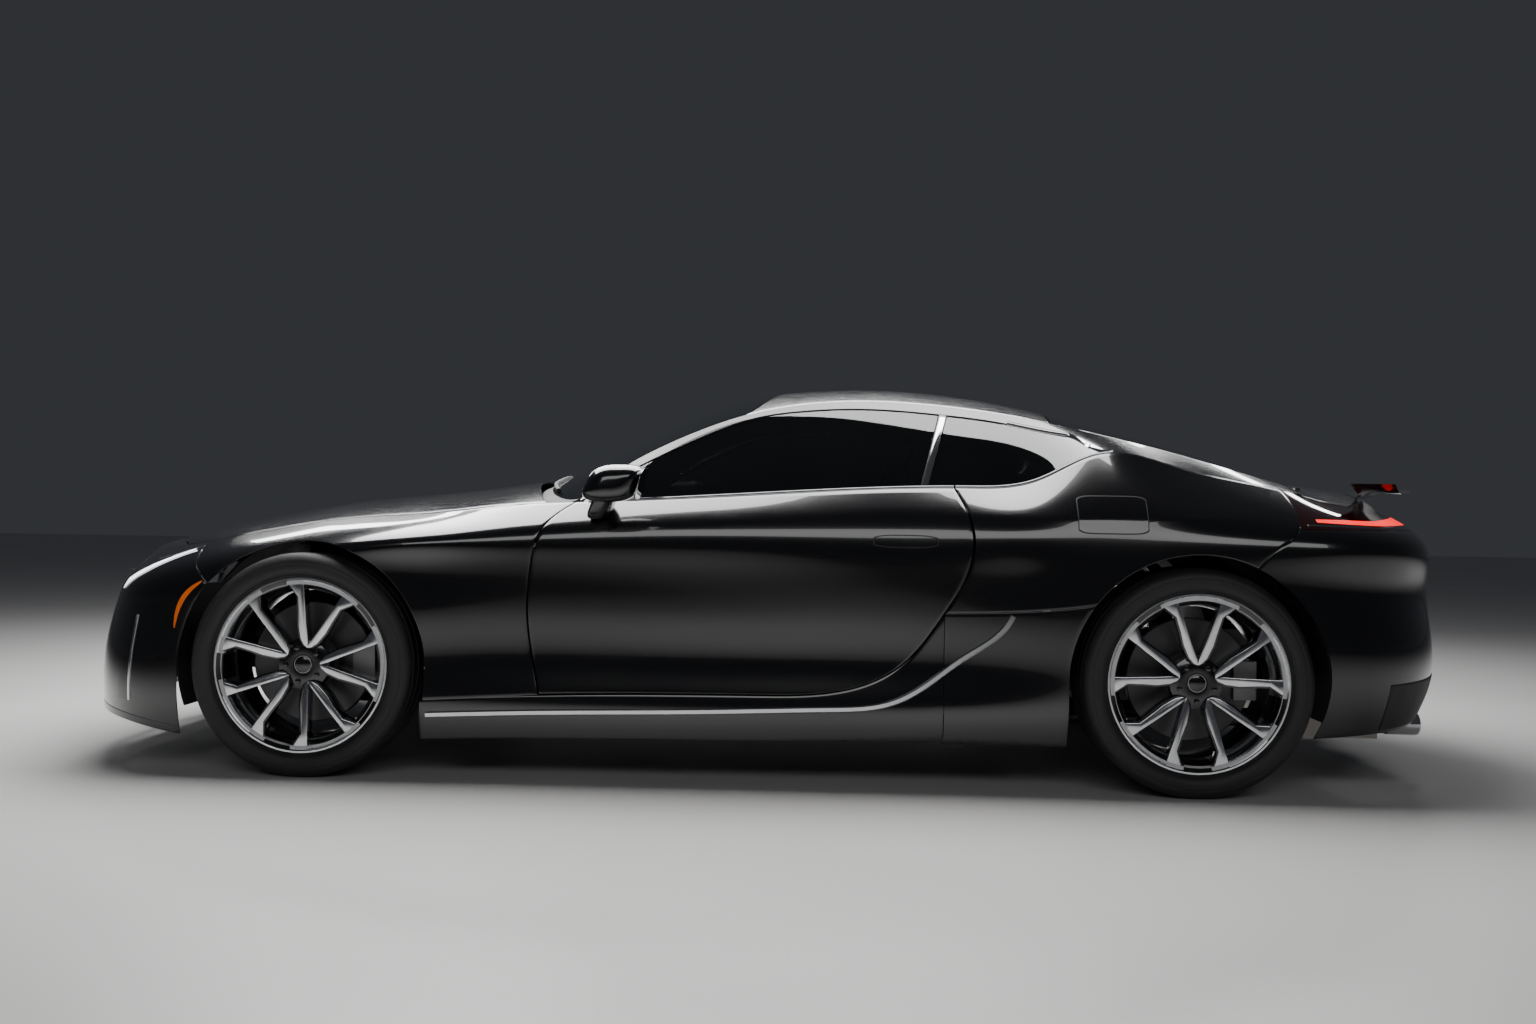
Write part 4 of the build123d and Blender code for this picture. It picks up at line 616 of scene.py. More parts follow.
CENTRE_ROOF = spline(
    [(mid(0.2335), 0.977), (mid(0.291), 1.059), (mid(0.3645), 1.160), (mid(0.4185), 1.238),
     (mid(0.494), 1.315), (mid(0.57), 1.344), (mid(0.6453), 1.351), (mid(0.7206), 1.340),
     (mid(0.796), 1.312), (mid(0.882), 1.259), (aft(-0.062), 1.191), (aft(0.215), 1.110),
     (aft(0.445), 1.027)]
)
RAIL_HALF = spline(
    [(mid(0.2335), HALF - 0.100), (mid(0.307), HALF - 0.190), (mid(0.389), HALF - 0.258),
     (mid(0.487), HALF - 0.318), (mid(0.605), HALF - 0.352), (mid(0.729), HALF - 0.362),
     (mid(0.87), HALF - 0.366), (aft(0), HALF - 0.385), (aft(0.445), HALF - 0.420)]
)
RAIL_HEIGHT = spline(
    [(mid(0.2335), 0.800), (mid(0.307), 0.922), (mid(0.343), 1.004), (mid(0.389), 1.086),
     (mid(0.442), 1.158), (mid(0.487), 1.206), (mid(0.556), 1.250), (mid(0.605), 1.264),
     (mid(0.654), 1.266), (mid(0.729), 1.252), (mid(0.806), 1.224), (mid(0.87), 1.190),
     (aft(-0.100), 1.130), (aft(0.215), 1.048), (aft(0.445), 0.985)]
)
CENTRE_BONNET = spline(
    [(fore(-0.775), 0.748), (fore(-0.645), 0.783), (fore(-0.522), 0.813), (fore(-0.321), 0.858),
     (fore(-0.062), 0.903), (fore(0.324), 0.945), (fore(0.637), 0.988)]
)
CENTRE_DECK = spline([(aft(0.445), 1.022), (aft(0.552), 1.014), (aft(0.638), 1.002), (aft(0.792), 0.975),
                      (aft(0.850), 0.955)])
CROWN = 0.7
front_stations, rear_stations = np.linspace(nose(0), nose(90), 300), np.linspace(tail(90), tail(0), 300)
front_reach, rear_reach = EDGE.at(front_stations)[0], EDGE.at(rear_stations)[0]


def crown(share):
    """The roof's fall from its centre, from 0 there to 1 at the rail."""
    return (np.hypot(CROWN, share) - CROWN) / (math.hypot(CROWN, 1) - CROWN)


def roof(x, share):
    """Points of the roof at a station, share of the way from the centre to a rail."""
    top_height, edge = CENTRE_ROOF(x), RAIL_HEIGHT(x)
    return np.stack([x, share * RAIL_HALF(x), top_height - (top_height - edge) * crown(share)], axis=-1)


def edge_at(x):
    """The half width and height of the bonnet's or the deck's edge at places along the car."""
    station = np.where(x < nose(90), np.interp(x, front_reach, front_stations), x)
    station = np.where(x > tail(90), np.interp(x, rear_reach, rear_stations), station)
    return EDGE.at(station)[1:]


def top(x, y, centre):
    """Points of the bonnet or the deck over places in plan."""
    half, low = edge_at(x)
    share = np.minimum(1, np.abs(y) / np.maximum(0.001, half))
    return np.stack([x, y, low + (centre(x) - low) * (1 - share**2)], axis=-1)


def upper_side(x, share):
    """The left side above the belt: 0 on the belt, 1 on the roof rail."""
    foot = np.stack(EDGE.at(x), axis=-1)
    rail = np.stack([x, RAIL_HALF(x), RAIL_HEIGHT(x)], axis=-1)
    point = foot + (rail - foot) * share[..., None]
    swell = 0.045 * (rail[..., 2] - foot[..., 2]) * np.sin(math.pi * share)
    return np.stack([x, -(point[..., 1] + swell), point[..., 2]], axis=-1)


def bonnet_front(share):
    """The plan place of the bonnet's front edge, share of the way to its corner."""
    x = x_bonnet_tip + (EDGE.at(BONNET_CORNER)[0] - x_bonnet_tip) * share**2
    return x, share * edge_at(x)[0]


def lid_rear(share):
    """The plan place of the boot lid's rear edge, share of the way to its corner."""
    x = x_lid_tip - (x_lid_tip - EDGE.at(LID_CORNER)[0]) * share**2
    return x, share * edge_at(x)[0]


def brow(station, low, v):
    """Points up the left side's skin from a height, over the edge line to the lid."""
    station, low, v = (np.asarray(value, float) for value in np.broadcast_arrays(station, low, v))
    shape, s, low, v = station.shape, station.ravel(), low.ravel(), v.ravel()
    knee_x, knee_y, knee_z = EDGE.at(s)
    climb = np.linspace(0, 1, 31)[:, None]
    side = flank(s[None, :] + 0 * climb, low + (knee_z - low) * climb)
    front = s < 0
    share = np.where(front, (s - S_NOSE) / (BONNET_CORNER - S_NOSE), (S_TAIL - s) / (S_TAIL - LID_CORNER))
    share_in = np.clip(share, 0, 1)
    goal_x, goal_y = (np.where(front, a, b) for a, b in zip(bonnet_front(share_in), lid_rear(share_in)))
    goal_x, goal_y = np.where(share < 1, goal_x, knee_x), np.where(share < 1, goal_y, knee_y)
    x, y = knee_x + (goal_x - knee_x) * climb[1:], knee_y + (goal_y - knee_y) * climb[1:]
    over = np.where(front[:, None], top(x, -y, CENTRE_BONNET), top(x, -y, CENTRE_DECK))
    path = np.concatenate([side, over])
    runs = np.concatenate([np.zeros((1, len(s))),
                           np.cumsum(np.linalg.norm(np.diff(path, axis=0), axis=2), axis=0)])
    runs /= runs[-1]
    i = np.clip((runs < v).sum(axis=0) - 1, 0, len(path) - 2)
    n = np.arange(len(s))
    part = ((v - runs[i, n]) / np.maximum(1e-9, runs[i + 1, n] - runs[i, n]))[:, None]
    return (path[i, n] + (path[i + 1, n] - path[i, n]) * part).reshape(*shape, 3)


def both_sides(half_patch):
    """A patch of the whole width from one of the left half, which runs out from the centre."""

    def at(u, v):
        a = 2 * np.asarray(u, float) - 1
        points = half_patch(np.abs(a), v)
        return points * np.stack([np.ones_like(a), np.where(a < 0, 1, -1), np.ones_like(a)], axis=-1)

    return at


def upright(station, low, high):
    """A straight upright edge on the side."""
    return straight((station, float(low)), (station, float(high)))


def on_mouth(points):
    """The grille's whole outline across the car, from its right half by width and height."""
    right = [(HALF * share, z) for share, z in points]
    return right + [(-y, z) for y, z in reversed(right)]


def prism(name, plan, x0, x1):
    """A closed prism along X from a plan of (y, z) points."""
    mesh = bpy.data.meshes.new(name)
    count = len(plan)
    corners = [(x, y, z) for x in (x0, x1) for y, z in plan]
    sides = [(k, (k + 1) % count, count + (k + 1) % count, count + k) for k in range(count)]
    mesh.from_pydata(corners, [], [tuple(reversed(range(count))), tuple(range(count, 2 * count)), *sides])
    made = bpy.data.objects.new(name, mesh)
    bpy.context.collection.objects.link(made)
    outward(made)
    return made


def outward(piece):
    """Turns every face of a closed piece outwards."""
    work = bmesh.new()
    work.from_mesh(piece.data)
    bmesh.ops.recalc_face_normals(work, faces=work.faces)
    work.to_mesh(piece.data)
    work.free()


def cut(piece, tool):
    """Cuts one closed piece with another and deletes the tool."""
    chosen(piece)
    away = piece.modifiers.new("cut", "BOOLEAN")
    away.operation, away.object, away.solver = "DIFFERENCE", tool, "EXACT"
    bpy.ops.object.modifier_apply(modifier=away.name)
    bpy.data.objects.remove(tool)
    return piece


MOUTH = [(0.500, 0.205), (0.420, 0.330), (0.300, 0.455), (0.360, 0.560), (0.400, 0.640)]
bumper_end = chain(
    straight((fore(-ARCH), float(BOTTOM.height(fore(-ARCH)))), (fore(-ARCH), ARCH_F_HEIGHT)),
    arch(X_AXLE_F, ARCH_F_HEIGHT, 0, WING_CORNER_ANGLE), straight(wing_corner, lamp_corner),
)
bumper_plane = both_sides(on_flank(coons(
    sill(S_NOSE, fore(-ARCH)), bumper_top, upright(S_NOSE, BOTTOM.height(S_NOSE), 0.530), bumper_end)))
front_end = [
    skin("bumper_front", bumper_plane, (160, 44), gaps=(SEAM, SEAM, 0, TUCK)),
    skin("nose_cap", both_sides(lambda u, v: brow(*np.moveaxis(bumper_top(u * AT_LAMP), -1, 0), v)),
         (60, 40), gaps=(SEAM, SEAM, TUCK, SHUT_GAP)),
]
for piece in front_end:
    cut(piece, prism("mouth", on_mouth(MOUTH), X_FRONT - 0.05, X_FRONT + 0.4))
    smoothed()
    fixed(piece, paint, "body", "front_bumper")

TIP_Y, TIP_Z, TIP_RADIUS, TIP_CLEAR = 0.420, 0.178, 0.036, 0.008
rear_plane = both_sides(on_flank(coons(
    sill(S_TAIL, aft(0.330)), straight((S_TAIL, TAIL_LAMP_LOW), (aft(0.310), TAIL_LAMP_LOW)),
    upright(S_TAIL, BOTTOM.height(S_TAIL), TAIL_LAMP_LOW), part_of(rear_cut, 0, AT_TAIL_LAMP))))
bumper_rear = skin("bumper_rear", rear_plane, (160, 60), gaps=(SEAM, SEAM, 0, TUCK))


def cylinder(name, radius, start, end, sides=96, tip=None):
    """A closed cylinder, or a cone, between two points."""
    start, end = Vector(start), Vector(end)
    bpy.ops.mesh.primitive_cone_add(vertices=sides, radius1=radius, radius2=radius if tip is None else tip,
                                    depth=(end - start).length)
    made = bpy.context.object
    made.name = made.data.name = name
    turn = (end - start).to_track_quat("Z", "Y").to_matrix().to_4x4()
    made.data.transform(Matrix.Translation((start + end) / 2) @ turn)
    return made


def tip_room(place):
    """The room round an exhaust tip, as a tool to cut with."""
    return cylinder("room", TIP_RADIUS + TIP_CLEAR, (aft(0.6), place, TIP_Z), (X_REAR + 0.05, place, TIP_Z))


wheel_room = cylinder("room", ARCH, (X_AXLE_R, -HALF - 0.1, ARCH_R_HEIGHT),
                      (X_AXLE_R, HALF + 0.1, ARCH_R_HEIGHT))
cut(bumper_rear, wheel_room)
for side in (-1, 1):
    cut(bumper_rear, tip_room(side * TIP_Y))
chosen(bumper_rear)
smoothed()
fixed(bumper_rear, paint, "body", "rear_bumper")

# ------------------------------------------------------------ bonnet and boot lid
# Two wide pressed lids with an even shut line round them, each on hinges at its edge by
# the glass. The boot lid is an upper skin and a rear face, and carries a raised lip.
BONNET_REAR = (mid(0.222), mid(0.269))


def bonnet_rear(share):
    """How far back the bonnet reaches, from its middle out to a corner."""
    return BONNET_REAR[0] + (BONNET_REAR[1] - BONNET_REAR[0]) * share**2


def bonnet_patch(u, v):
    """The bonnet, from its front edge to the windscreen and from side to side."""
    share = 2 * v - 1
    front = bonnet_front(np.abs(share))[0]
    x = front + (bonnet_rear(share) - front) * u
    return top(x, share * edge_at(x)[0], CENTRE_BONNET)


LID_SIDE, LID_CORNER_DRAWN = 0.0075, 0.024
bonnet = skin("bonnet_skin", bonnet_patch, (90, 90), gaps=(SHUT_GAP,) * 4, depth=0.006)
fixed(bonnet, paint, "bonnet", "bonnet")

DECK_START, DECK_BOW, DECK_GAP = aft(0.445), 0.050, 0.024


def deck_start(share):
    """Where the deck begins behind the rear glass, from the middle out to a corner."""
    return DECK_START - DECK_BOW * share**2


def deck_patch(u, v):
    """The boot lid's upper face; its front corners draw in to swing clear of the lamps."""
    share = 2 * v - 1
    start = deck_start(share) + DECK_GAP
    x = start + (lid_rear(np.abs(share))[0] - start) * u
    return top(x, share * (1 - LID_CORNER_DRAWN * (1 - u) ** 6) * edge_at(x)[0], CENTRE_DECK)


deck = skin("boot_lid_top", deck_patch, (50, 90), gaps=(0, 0, LID_SIDE, LID_SIDE), depth=0.005)
lid_face = skin("boot_lid_face", both_sides(lambda u, v: brow(S_TAIL + u * (TAIL_LAMP_INNER - S_TAIL),
                TAIL_LAMP_LOW, v)), (80, 30), gaps=(SHUT_GAP, SHUT_GAP, SHUT_GAP, 0.0), depth=0.006)
WING_HALF, WING_FRONT, WING_TOP, WING_BLEND = 0.600, aft(0.775), 1.003, 0.012
WING_DROOP, WING_EDGE, WING_ON_DECK = 0.040, 0.004, 0.0008


def wing_place(u, v):
    """Places in plan on the lip, the deck's height under it, and how far it overhangs the deck."""
    y = WING_HALF * (2 * v - 1)
    share = y / WING_HALF
    x0, x1 = WING_FRONT - 0.190 * share**2, X_REAR - 0.245 * share**2
    x = x0 + (x1 - x0) * u
    limit = lid_rear(np.abs(y) / edge_at(np.full_like(x, x_lid_tip - 0.060))[0])[0]
    carried = limit - WING_BLEND * np.logaddexp(0, (limit - x) / WING_BLEND)
    low = top(carried, y, CENTRE_DECK)[..., 2] + WING_ON_DECK
    rise = (WING_TOP - WING_DROOP * share**2 - low - WING_EDGE) * np.sin(u * math.pi / 2) ** 1.3
    height = WING_EDGE + rise * (1 - share**14)
    return x, y, low, height, np.clip((x - limit) / np.maximum(x1 - limit, 0.02), 0, 1)


def wing_patch(u, v):
    """The upper face of the raised lip on the boot lid."""
    x, y, low, height, _ = wing_place(u, v)
    return np.stack([x, y, low + height], axis=-1)


def wing_under(u, v):
    """The lip's underside: it rests on the deck and rises behind it to a thin edge."""
    x, y, low, height, overhang = wing_place(u, v)
    return np.stack([x, y, low + 0.85 * height * overhang], axis=-1)


def lofted(name, upper, lower, cells):
    """A closed piece between an upper and a lower patch that have the same edges in plan."""
    u, v = np.meshgrid(np.linspace(0, 1, cells[0] + 1), np.linspace(0, 1, cells[1] + 1), indexing="ij")
    piece = laid_grid(name, upper(u, v))
    count = len(piece.data.vertices)
    thicken(piece, 0.001)
    flat = np.empty(len(piece.data.vertices) * 3)
    piece.data.vertices.foreach_get("co", flat)
    under = laid_grid(name + "_under", lower(u, v))
    other = np.empty(count * 3)
    under.data.vertices.foreach_get("co", other)
    flat[count * 3:2 * count * 3] = other
    piece.data.vertices.foreach_set("co", flat)
    bpy.data.objects.remove(under)
    outward(piece)
    return piece


wing_lip = lofted("boot_lip", wing_patch, wing_under, (24, 60))
for piece, node in ((deck, "boot_lid"), (lid_face, "boot_lid"), (wing_lip, "rear_wing")):
    fixed(piece, paint, "boot_lid", node)

# ------------------------------------------------------------ roof and pillars
# A pressed roof between two curved cross lines, and the side rails that run down to the
# haunches. The pillars at the windscreen are part of the rails.
SCREEN_BASE, SCREEN_CORNER = mid(0.2335), mid(0.305)
HEADER, HEADER_BOW, BACKLIGHT_TOP, BACKLIGHT_BOW = mid(0.530), 0.105, mid(0.864), 0.030
WINDOW_TIP, WINDOW_END = mid(0.870), mid(0.915)
TIP_SHARE = 0.76


def screen_low(share):
    """The windscreen's foot, from the middle out to a pillar."""
    return SCREEN_BASE + (SCREEN_CORNER - SCREEN_BASE) * np.abs(share) ** 2.2


def header(share):
    """The windscreen's head, from the middle out to a rail."""
    return HEADER - HEADER_BOW * share**2


def backlight_top(share):
    """The rear glass's head, from the middle out to a rail."""
    return BACKLIGHT_TOP - BACKLIGHT_BOW * share**2


def roof_patch(first, last):
    """The roof's surface between two cross curves."""

    def at(u, v):
        share = 2 * v - 1
        return roof(first(share) + (last(share) - first(share)) * u, share)

    return at


frame_low = spline([(mid(0.307), 0.3), (mid(0.324), 0.70), (mid(0.343), 0.78), (mid(0.389), 0.82),
                    (mid(0.442), 0.88), (mid(0.487), 0.925), (mid(0.556), 0.92), (mid(0.654), 0.90),
                    (mid(0.729), 0.885), (mid(0.806), 0.86), (WINDOW_TIP, TIP_SHARE)])


def glass_top(x):
    """How far up the side the glass reaches, as a share of the way from belt to rail."""
    t = np.clip((x - WINDOW_TIP) / (WINDOW_END - WINDOW_TIP), 0, 1)
    return np.where(x < WINDOW_TIP, frame_low(x), TIP_SHARE * (1 - t) ** 2 * (1 + 2 * t))


def rail_patch(u, v):
    """The pillar and roof rail above the side glass, and the rear pillar behind it."""
    x = mid(0.307) + (aft(0.395) - mid(0.307)) * u
    low = glass_top(x)
    return upper_side(x, low + (1 - low) * v)


roof_skin = skin("roof_skin", roof_patch(header, backlight_top), (70, 90), gaps=(SEAM, SEAM, TUCK, TUCK))
fixed(roof_skin, paint, "body", "roof_panel")
for side, hand in SIDES:
    rail = skin(f"rail_{hand}", rail_patch, (160, 24), gaps=(0.0, 0.0, TUCK, TUCK), side=side)
    fixed(rail, paint, "body", "side_frames")

# ------------------------------------------------------------ glass
# Dark tinted safety glass, clear head on and shiny at a slant: bonded panes front and rear,
# and flush side panes with a black post between the door's and the quarter's.
def tinted(name, colour, thin, thick):
    """Glass: a dark tint whose see-through share falls at a slant."""
    made = finish(name, colour, roughness=(0.01, 0.02), specular=0.6, coat=1.0, coat_roughness=0.0,
                  cloud=3.0)
    nodes, link = made.node_tree.nodes, made.node_tree.links.new
    slant, level = nodes.new("ShaderNodeFresnel"), nodes.new("ShaderNodeMapRange")
    slant.inputs["IOR"].default_value = 1.5
    level.inputs["From Max"].default_value = 0.5
    level.inputs["To Min"].default_value, level.inputs["To Max"].default_value = thin, thick
    link(slant.outputs["Fac"], level.inputs["Value"])
    link(level.outputs["Result"], nodes["Principled BSDF"].inputs["Alpha"])
    return made


glass = tinted("tinted glass", (0.004, 0.0045, 0.005), 0.62, 1.0)
screen_glass = tinted("screen glass", (0.006, 0.007, 0.008), 0.45, 1.0)
GLASS_SEAM, GLASS_INSET = 0.003, -0.004
windscreen = skin("windscreen_pane", roof_patch(screen_low, header), (60, 60), gaps=(GLASS_SEAM,) * 4,
                  rolled=0)
backlight = skin("backlight_pane", roof_patch(backlight_top, deck_start), (50, 60), gaps=(GLASS_SEAM,) * 4,
                 rolled=0)
post_black = finish("post black", (0.012, 0.012, 0.012), roughness=(0.25, 0.35), coat=0.5)
PILLAR_FOOT, PILLAR_HEAD, PILLAR_WIDTH = mid(0.6955), mid(0.7215), 0.027


def pillar(share):
    """Where the door glass ends at a height between belt and rail."""
    return PILLAR_FOOT + (PILLAR_HEAD - PILLAR_FOOT) * share


def glass_patch(first, last, low):
    """Side glass between two edges, from low up to the rail."""

    def at(u, v):
        x = first(v) + (last(v) - first(v)) * u
        return upper_side(x, low + (glass_top(x) - low) * v)

    return at


def pillar_rear(share):
    """Where the quarter glass begins, behind the black post."""
    return pillar(share) + PILLAR_WIDTH


for pane, node, material in ((windscreen, "windscreen", screen_glass), (backlight, "rear_window", glass)):
    fixed(pane, material, "body", node)
for side, hand in SIDES:
    door_pane = skin(f"door_pane_{hand}", glass_patch(lambda v: mid(0.312) + 0 * v, pillar, 0.0), (70, 20),
                     rolled=0, gaps=(0, 0.002, 0, 0.002), side=side, lift=GLASS_INSET)
    quarter_pane = skin(f"quarter_pane_{hand}",
                        glass_patch(pillar_rear, lambda v: WINDOW_END - 0.012 + 0 * v, 0.0),
                        (60, 16), rolled=0, gaps=(SEAM, 0.0, 0, GLASS_SEAM), side=side, lift=GLASS_INSET)
    post = skin(f"post_{hand}", glass_patch(pillar, pillar_rear, 0.0), (4, 20), gaps=(SEAM, SEAM, 0, SEAM),
                side=side)
    fixed(door_pane, glass, f"door_{hand}", f"door_glass_{hand}")
    fixed(quarter_pane, glass, "body", "quarter_windows")
    fixed(post, post_black, "body", "side_frames")

# ------------------------------------------------------------ scuttle
# The black plastic panel between the bonnet and the windscreen. It hides the wipers' spindles
# and lets air into the cabin.
plastic = finish("black plastic", (0.018, 0.018, 0.019), (0.012, 0.012, 0.013), roughness=(0.45, 0.6),
                 bump=0.00008)


def cowl_patch(u, v):
    """The black scuttle between the bonnet's rear edge and the windscreen's foot."""
    share = 2 * v - 1
    x0, x1 = bonnet_rear(share), screen_low(share)
    y0, y1 = share * edge_at(x0)[0], share * RAIL_HALF(x1)
    x, y = x0 + (x1 - x0) * u, y0 + (y1 - y0) * u
    start, end = top(x0, y0, CENTRE_BONNET)[..., 2], roof(x1, share)[..., 2]
    return np.stack([x, y, start - 0.030 * (1 - u) + (end - start) * u], axis=-1)


scuttle = skin("scuttle", cowl_patch, (10, 80), gaps=(0.002, 0.0, 0.002, 0.002), depth=0.004)
fixed(scuttle, plastic, "body", "cowl")

# ------------------------------------------------------------ lamps
# Slim lamps at the four corners under smoked covers. A white light guide runs along the
# foot of each front one over a black bowl, and a red one wraps each rear corner.
gloss_black = finish("gloss black", (0.006, 0.006, 0.0065), (0.004, 0.004, 0.004), roughness=(0.12, 0.2),
                     coat=0.8)
lamp_glass = tinted("lamp cover", (0.02, 0.021, 0.023), 0.5, 0.95)
smoked = finish("smoked red lamp", (0.012, 0.001, 0.001), (0.008, 0.001, 0.001), roughness=(0.06, 0.1),
                coat=1.0)
white_guide = finish("white light guide", (0.9, 0.92, 0.95), (0.85, 0.87, 0.9), roughness=(0.2, 0.3),
                     emission=(0.92, 0.96, 1.0), strength=2.2, cloud=30.0)
red_guide = finish("red light guide", (0.6, 0.01, 0.008), (0.4, 0.004, 0.003), roughness=(0.2, 0.3),
                   emission=(1.0, 0.02, 0.015), strength=1.6, cloud=30.0)
lamp_chrome = finish("lamp reflector", (0.7, 0.71, 0.72), (0.6, 0.61, 0.62), roughness=(0.08, 0.14),
                     metallic=1.0, cloud=30.0)


def headlamp_patch(u, v):
    """A front lamp's cover, from near the grille round to the wing."""
    return brow(*np.moveaxis(bumper_top(AT_LAMP + u * (1 - AT_LAMP)), -1, 0), v)


def tail_lamp_patch(u, v):
    """A rear lamp's cover, from the haunch round to the boot lid."""
    lead = 0.026 * (1 - np.asarray(u, float)) ** 4 * (1 - np.asarray(v, float))
    return brow(TAIL_LAMP_OUTER + u * (TAIL_LAMP_INNER - TAIL_LAMP_OUTER) - lead, TAIL_LAMP_LOW, v)


def slim(patch, u0, u1, low, high, taper=0.5):
    """A slim stretch of a lamp's patch that tapers to its start."""

    def at(u, v):
        waist = 1 - taper * (1 - np.sin(np.clip(u, 0, 1) * math.pi / 2))
        return patch(u0 + (u1 - u0) * u, low + (high - low) * v * waist)

    return at


FULL, PROUD = (0, 0, 0, 0), 0.0006
for side, hand in SIDES:
    for name, patch, cells, gaps, depth, lift, material, slot, node in (
        ("headlamp", headlamp_patch, (70, 40), (0.001, 0.002, 0.001, 0.003), 0.003, 0, lamp_glass,
         "lamp_cover", "headlamps"),
        ("headlamp_bowl", headlamp_patch, (40, 20), (0.01, 0.012, 0.008, 0.012), 0.002, -0.018, gloss_black,
         "lamp_cover", None),
        ("headlamp_guide", slim(headlamp_patch, 0.34, 0.92, 0.05, 0.24), (60, 8), FULL, 0.003, PROUD,
         white_guide, "lamp_cover", None),
        ("headlamp_fang", slim(headlamp_patch, 0.55, 0.97, 0.38, 0.45), (40, 6), FULL, 0.003, PROUD,
         lamp_chrome, "lamp_cover", None),
        ("tail_lamp", tail_lamp_patch, (60, 34), (0.001, 0.002, 0.001, 0.006), 0.003, 0, smoked, "red_lamp",
         "tail_lamps"),
        ("tail_guide", slim(tail_lamp_patch, 0.10, 0.97, 0.14, 0.36, 0.7), (70, 8), FULL, 0.003, PROUD,
         red_guide, "red_lamp", None),
        ("tail_edge", slim(tail_lamp_patch, 0.04, 0.97, 0.06, 0.10, 0.3), (70, 4), FULL, 0.002, PROUD,
         lamp_chrome, "red_lamp", None),
    ):
        lamp = skin(f"{name}_{hand}", patch, cells, depth=depth, rolled=0, gaps=gaps, side=side, lift=lift)
        fixed(lamp, material, "body", node)

# ------------------------------------------------------------ wheels
# Forged 21-inch wheels with five pairs of spokes, on wide low tyres. The spokes' faces and
# the lip are machined bright; the ribs behind them, the pockets and the hub are gloss black.
FRONT_TYRE, REAR_TYRE = (0.3645, 0.245), (0.363, 0.275)
HALF_TRACK, RIM_RADIUS, BEAD_RADIUS, RIM_INSET = 0.815, 0.284, 0.266, 0.025
PAIRS = 5
PAIR_STEP = 2 * math.pi / PAIRS


def merged(piece, gap=0.00002):
    """Joins the points of a piece that lie on each other, and turns its faces outwards."""
    chosen(piece)
    bpy.ops.object.mode_set(mode="EDIT")
    bpy.ops.mesh.select_all(action="SELECT")
    bpy.ops.mesh.remove_doubles(threshold=gap)
    bpy.ops.mesh.normals_make_consistent(inside=False)
    bpy.ops.object.mode_set(mode="OBJECT")
    return piece


def turned(name, profile, steps=128, start=0.0, sweep=2 * math.pi):
    """A piece turned about the axle from a closed loop of (radius, outward) points, facing +Y."""
    radius, outward_place = np.array([*profile, profile[0]], float).T
    angle = np.linspace(start, start + sweep, steps + 1)[:, None]
    ring = np.stack([radius * np.cos(angle), outward_place + 0 * angle, radius * np.sin(angle)], axis=-1)
    piece = merged(laid_grid(name, ring))
    smoothed()
    return piece


def slab(name, plan, low, high):
    """A closed plate from a plan of (x, z) points, from one outward place to another."""
    bpy.ops.object.select_all(action="DESELECT")
    bpy.ops.mesh.primitive_circle_add(vertices=len(plan), radius=1, fill_type="NGON")
    piece = bpy.context.object
    piece.name = piece.data.name = name
    for point, (x, z) in zip(piece.data.vertices, plan):
        point.co = (x, low, z)
    bpy.ops.object.mode_set(mode="EDIT")
    bpy.ops.mesh.select_all(action="SELECT")
    bpy.ops.mesh.extrude_region_move(TRANSFORM_OT_translate={"value": (0, high - low, 0)})
    bpy.ops.mesh.select_all(action="SELECT")
    bpy.ops.mesh.normals_make_consistent(inside=False)
    bpy.ops.object.mode_set(mode="OBJECT")
    return piece


def rounded(piece, width, segments=2):
    """Rolls the sharp edges of a piece."""
    chosen(piece)
    edge = piece.modifiers.new("edge", "BEVEL")
    edge.width, edge.segments = width, segments
    edge.limit_method, edge.angle_limit = "ANGLE", math.radians(PLATE_ANGLE)
    bpy.ops.object.modifier_apply(modifier=edge.name)
    smoothed(PLATE_ANGLE)
    return piece


def joined(name, pieces):
    """Several like pieces made one."""
    bpy.ops.object.select_all(action="DESELECT")
    for piece in pieces:
        piece.select_set(True)
    bpy.context.view_layer.objects.active = pieces[0]
    if len(pieces) > 1:
        bpy.ops.object.join()
    pieces[0].name = pieces[0].data.name = name
    return pieces[0]


def turned_about(points, angle):
    """Plan points turned about the axle."""
    c, s = math.cos(angle), math.sin(angle)
    return [(x * c - z * s, x * s + z * c) for x, z in points]


HUB_FACE_DROP, HUB_FACE_REACH, ARM_LAST_INNER = 0.020, 0.27, 6
ARM_PLAN = [(0.056, 0.0), (0.085, 0.007), (0.129, 0.0235), (0.180, 0.041), (0.221, 0.056), (0.2533, 0.0665),
            (0.2745, 0.0735), (0.266, 0.102), (0.253, 0.129), (0.232, 0.103), (0.209, 0.0735),
            (0.165, 0.060), (0.120, 0.048), (0.080, 0.030), (0.062, 0.014)]


def dished(piece, depth, reach):
    """Draws a wheel face's middle in: the drop falls from the hub out to a radius."""
    for point in piece.data.vertices:
        radius = math.hypot(point.co.x, point.co.z)
        point.co.y -= depth * max(0.0, 1 - radius / reach) ** 1.5
    return piece


def arms(name, face, deep, shift, grow):
    """The ten arms of a wheel as closed plates; shift and grow move and widen them sideways."""
    made = []
    for k in range(PAIRS):
        for hand in (-1, 1):
            plan = [(x, hand * (z + shift + (grow if n > ARM_LAST_INNER else 0)))
                    for n, (x, z) in enumerate(ARM_PLAN)]
            arm = slab(f"{name}_{k}_{hand}", turned_about(plan, k * PAIR_STEP), face - deep, face)
            made.append(dished(arm, HUB_FACE_DROP, HUB_FACE_REACH))
    return joined(name, made)


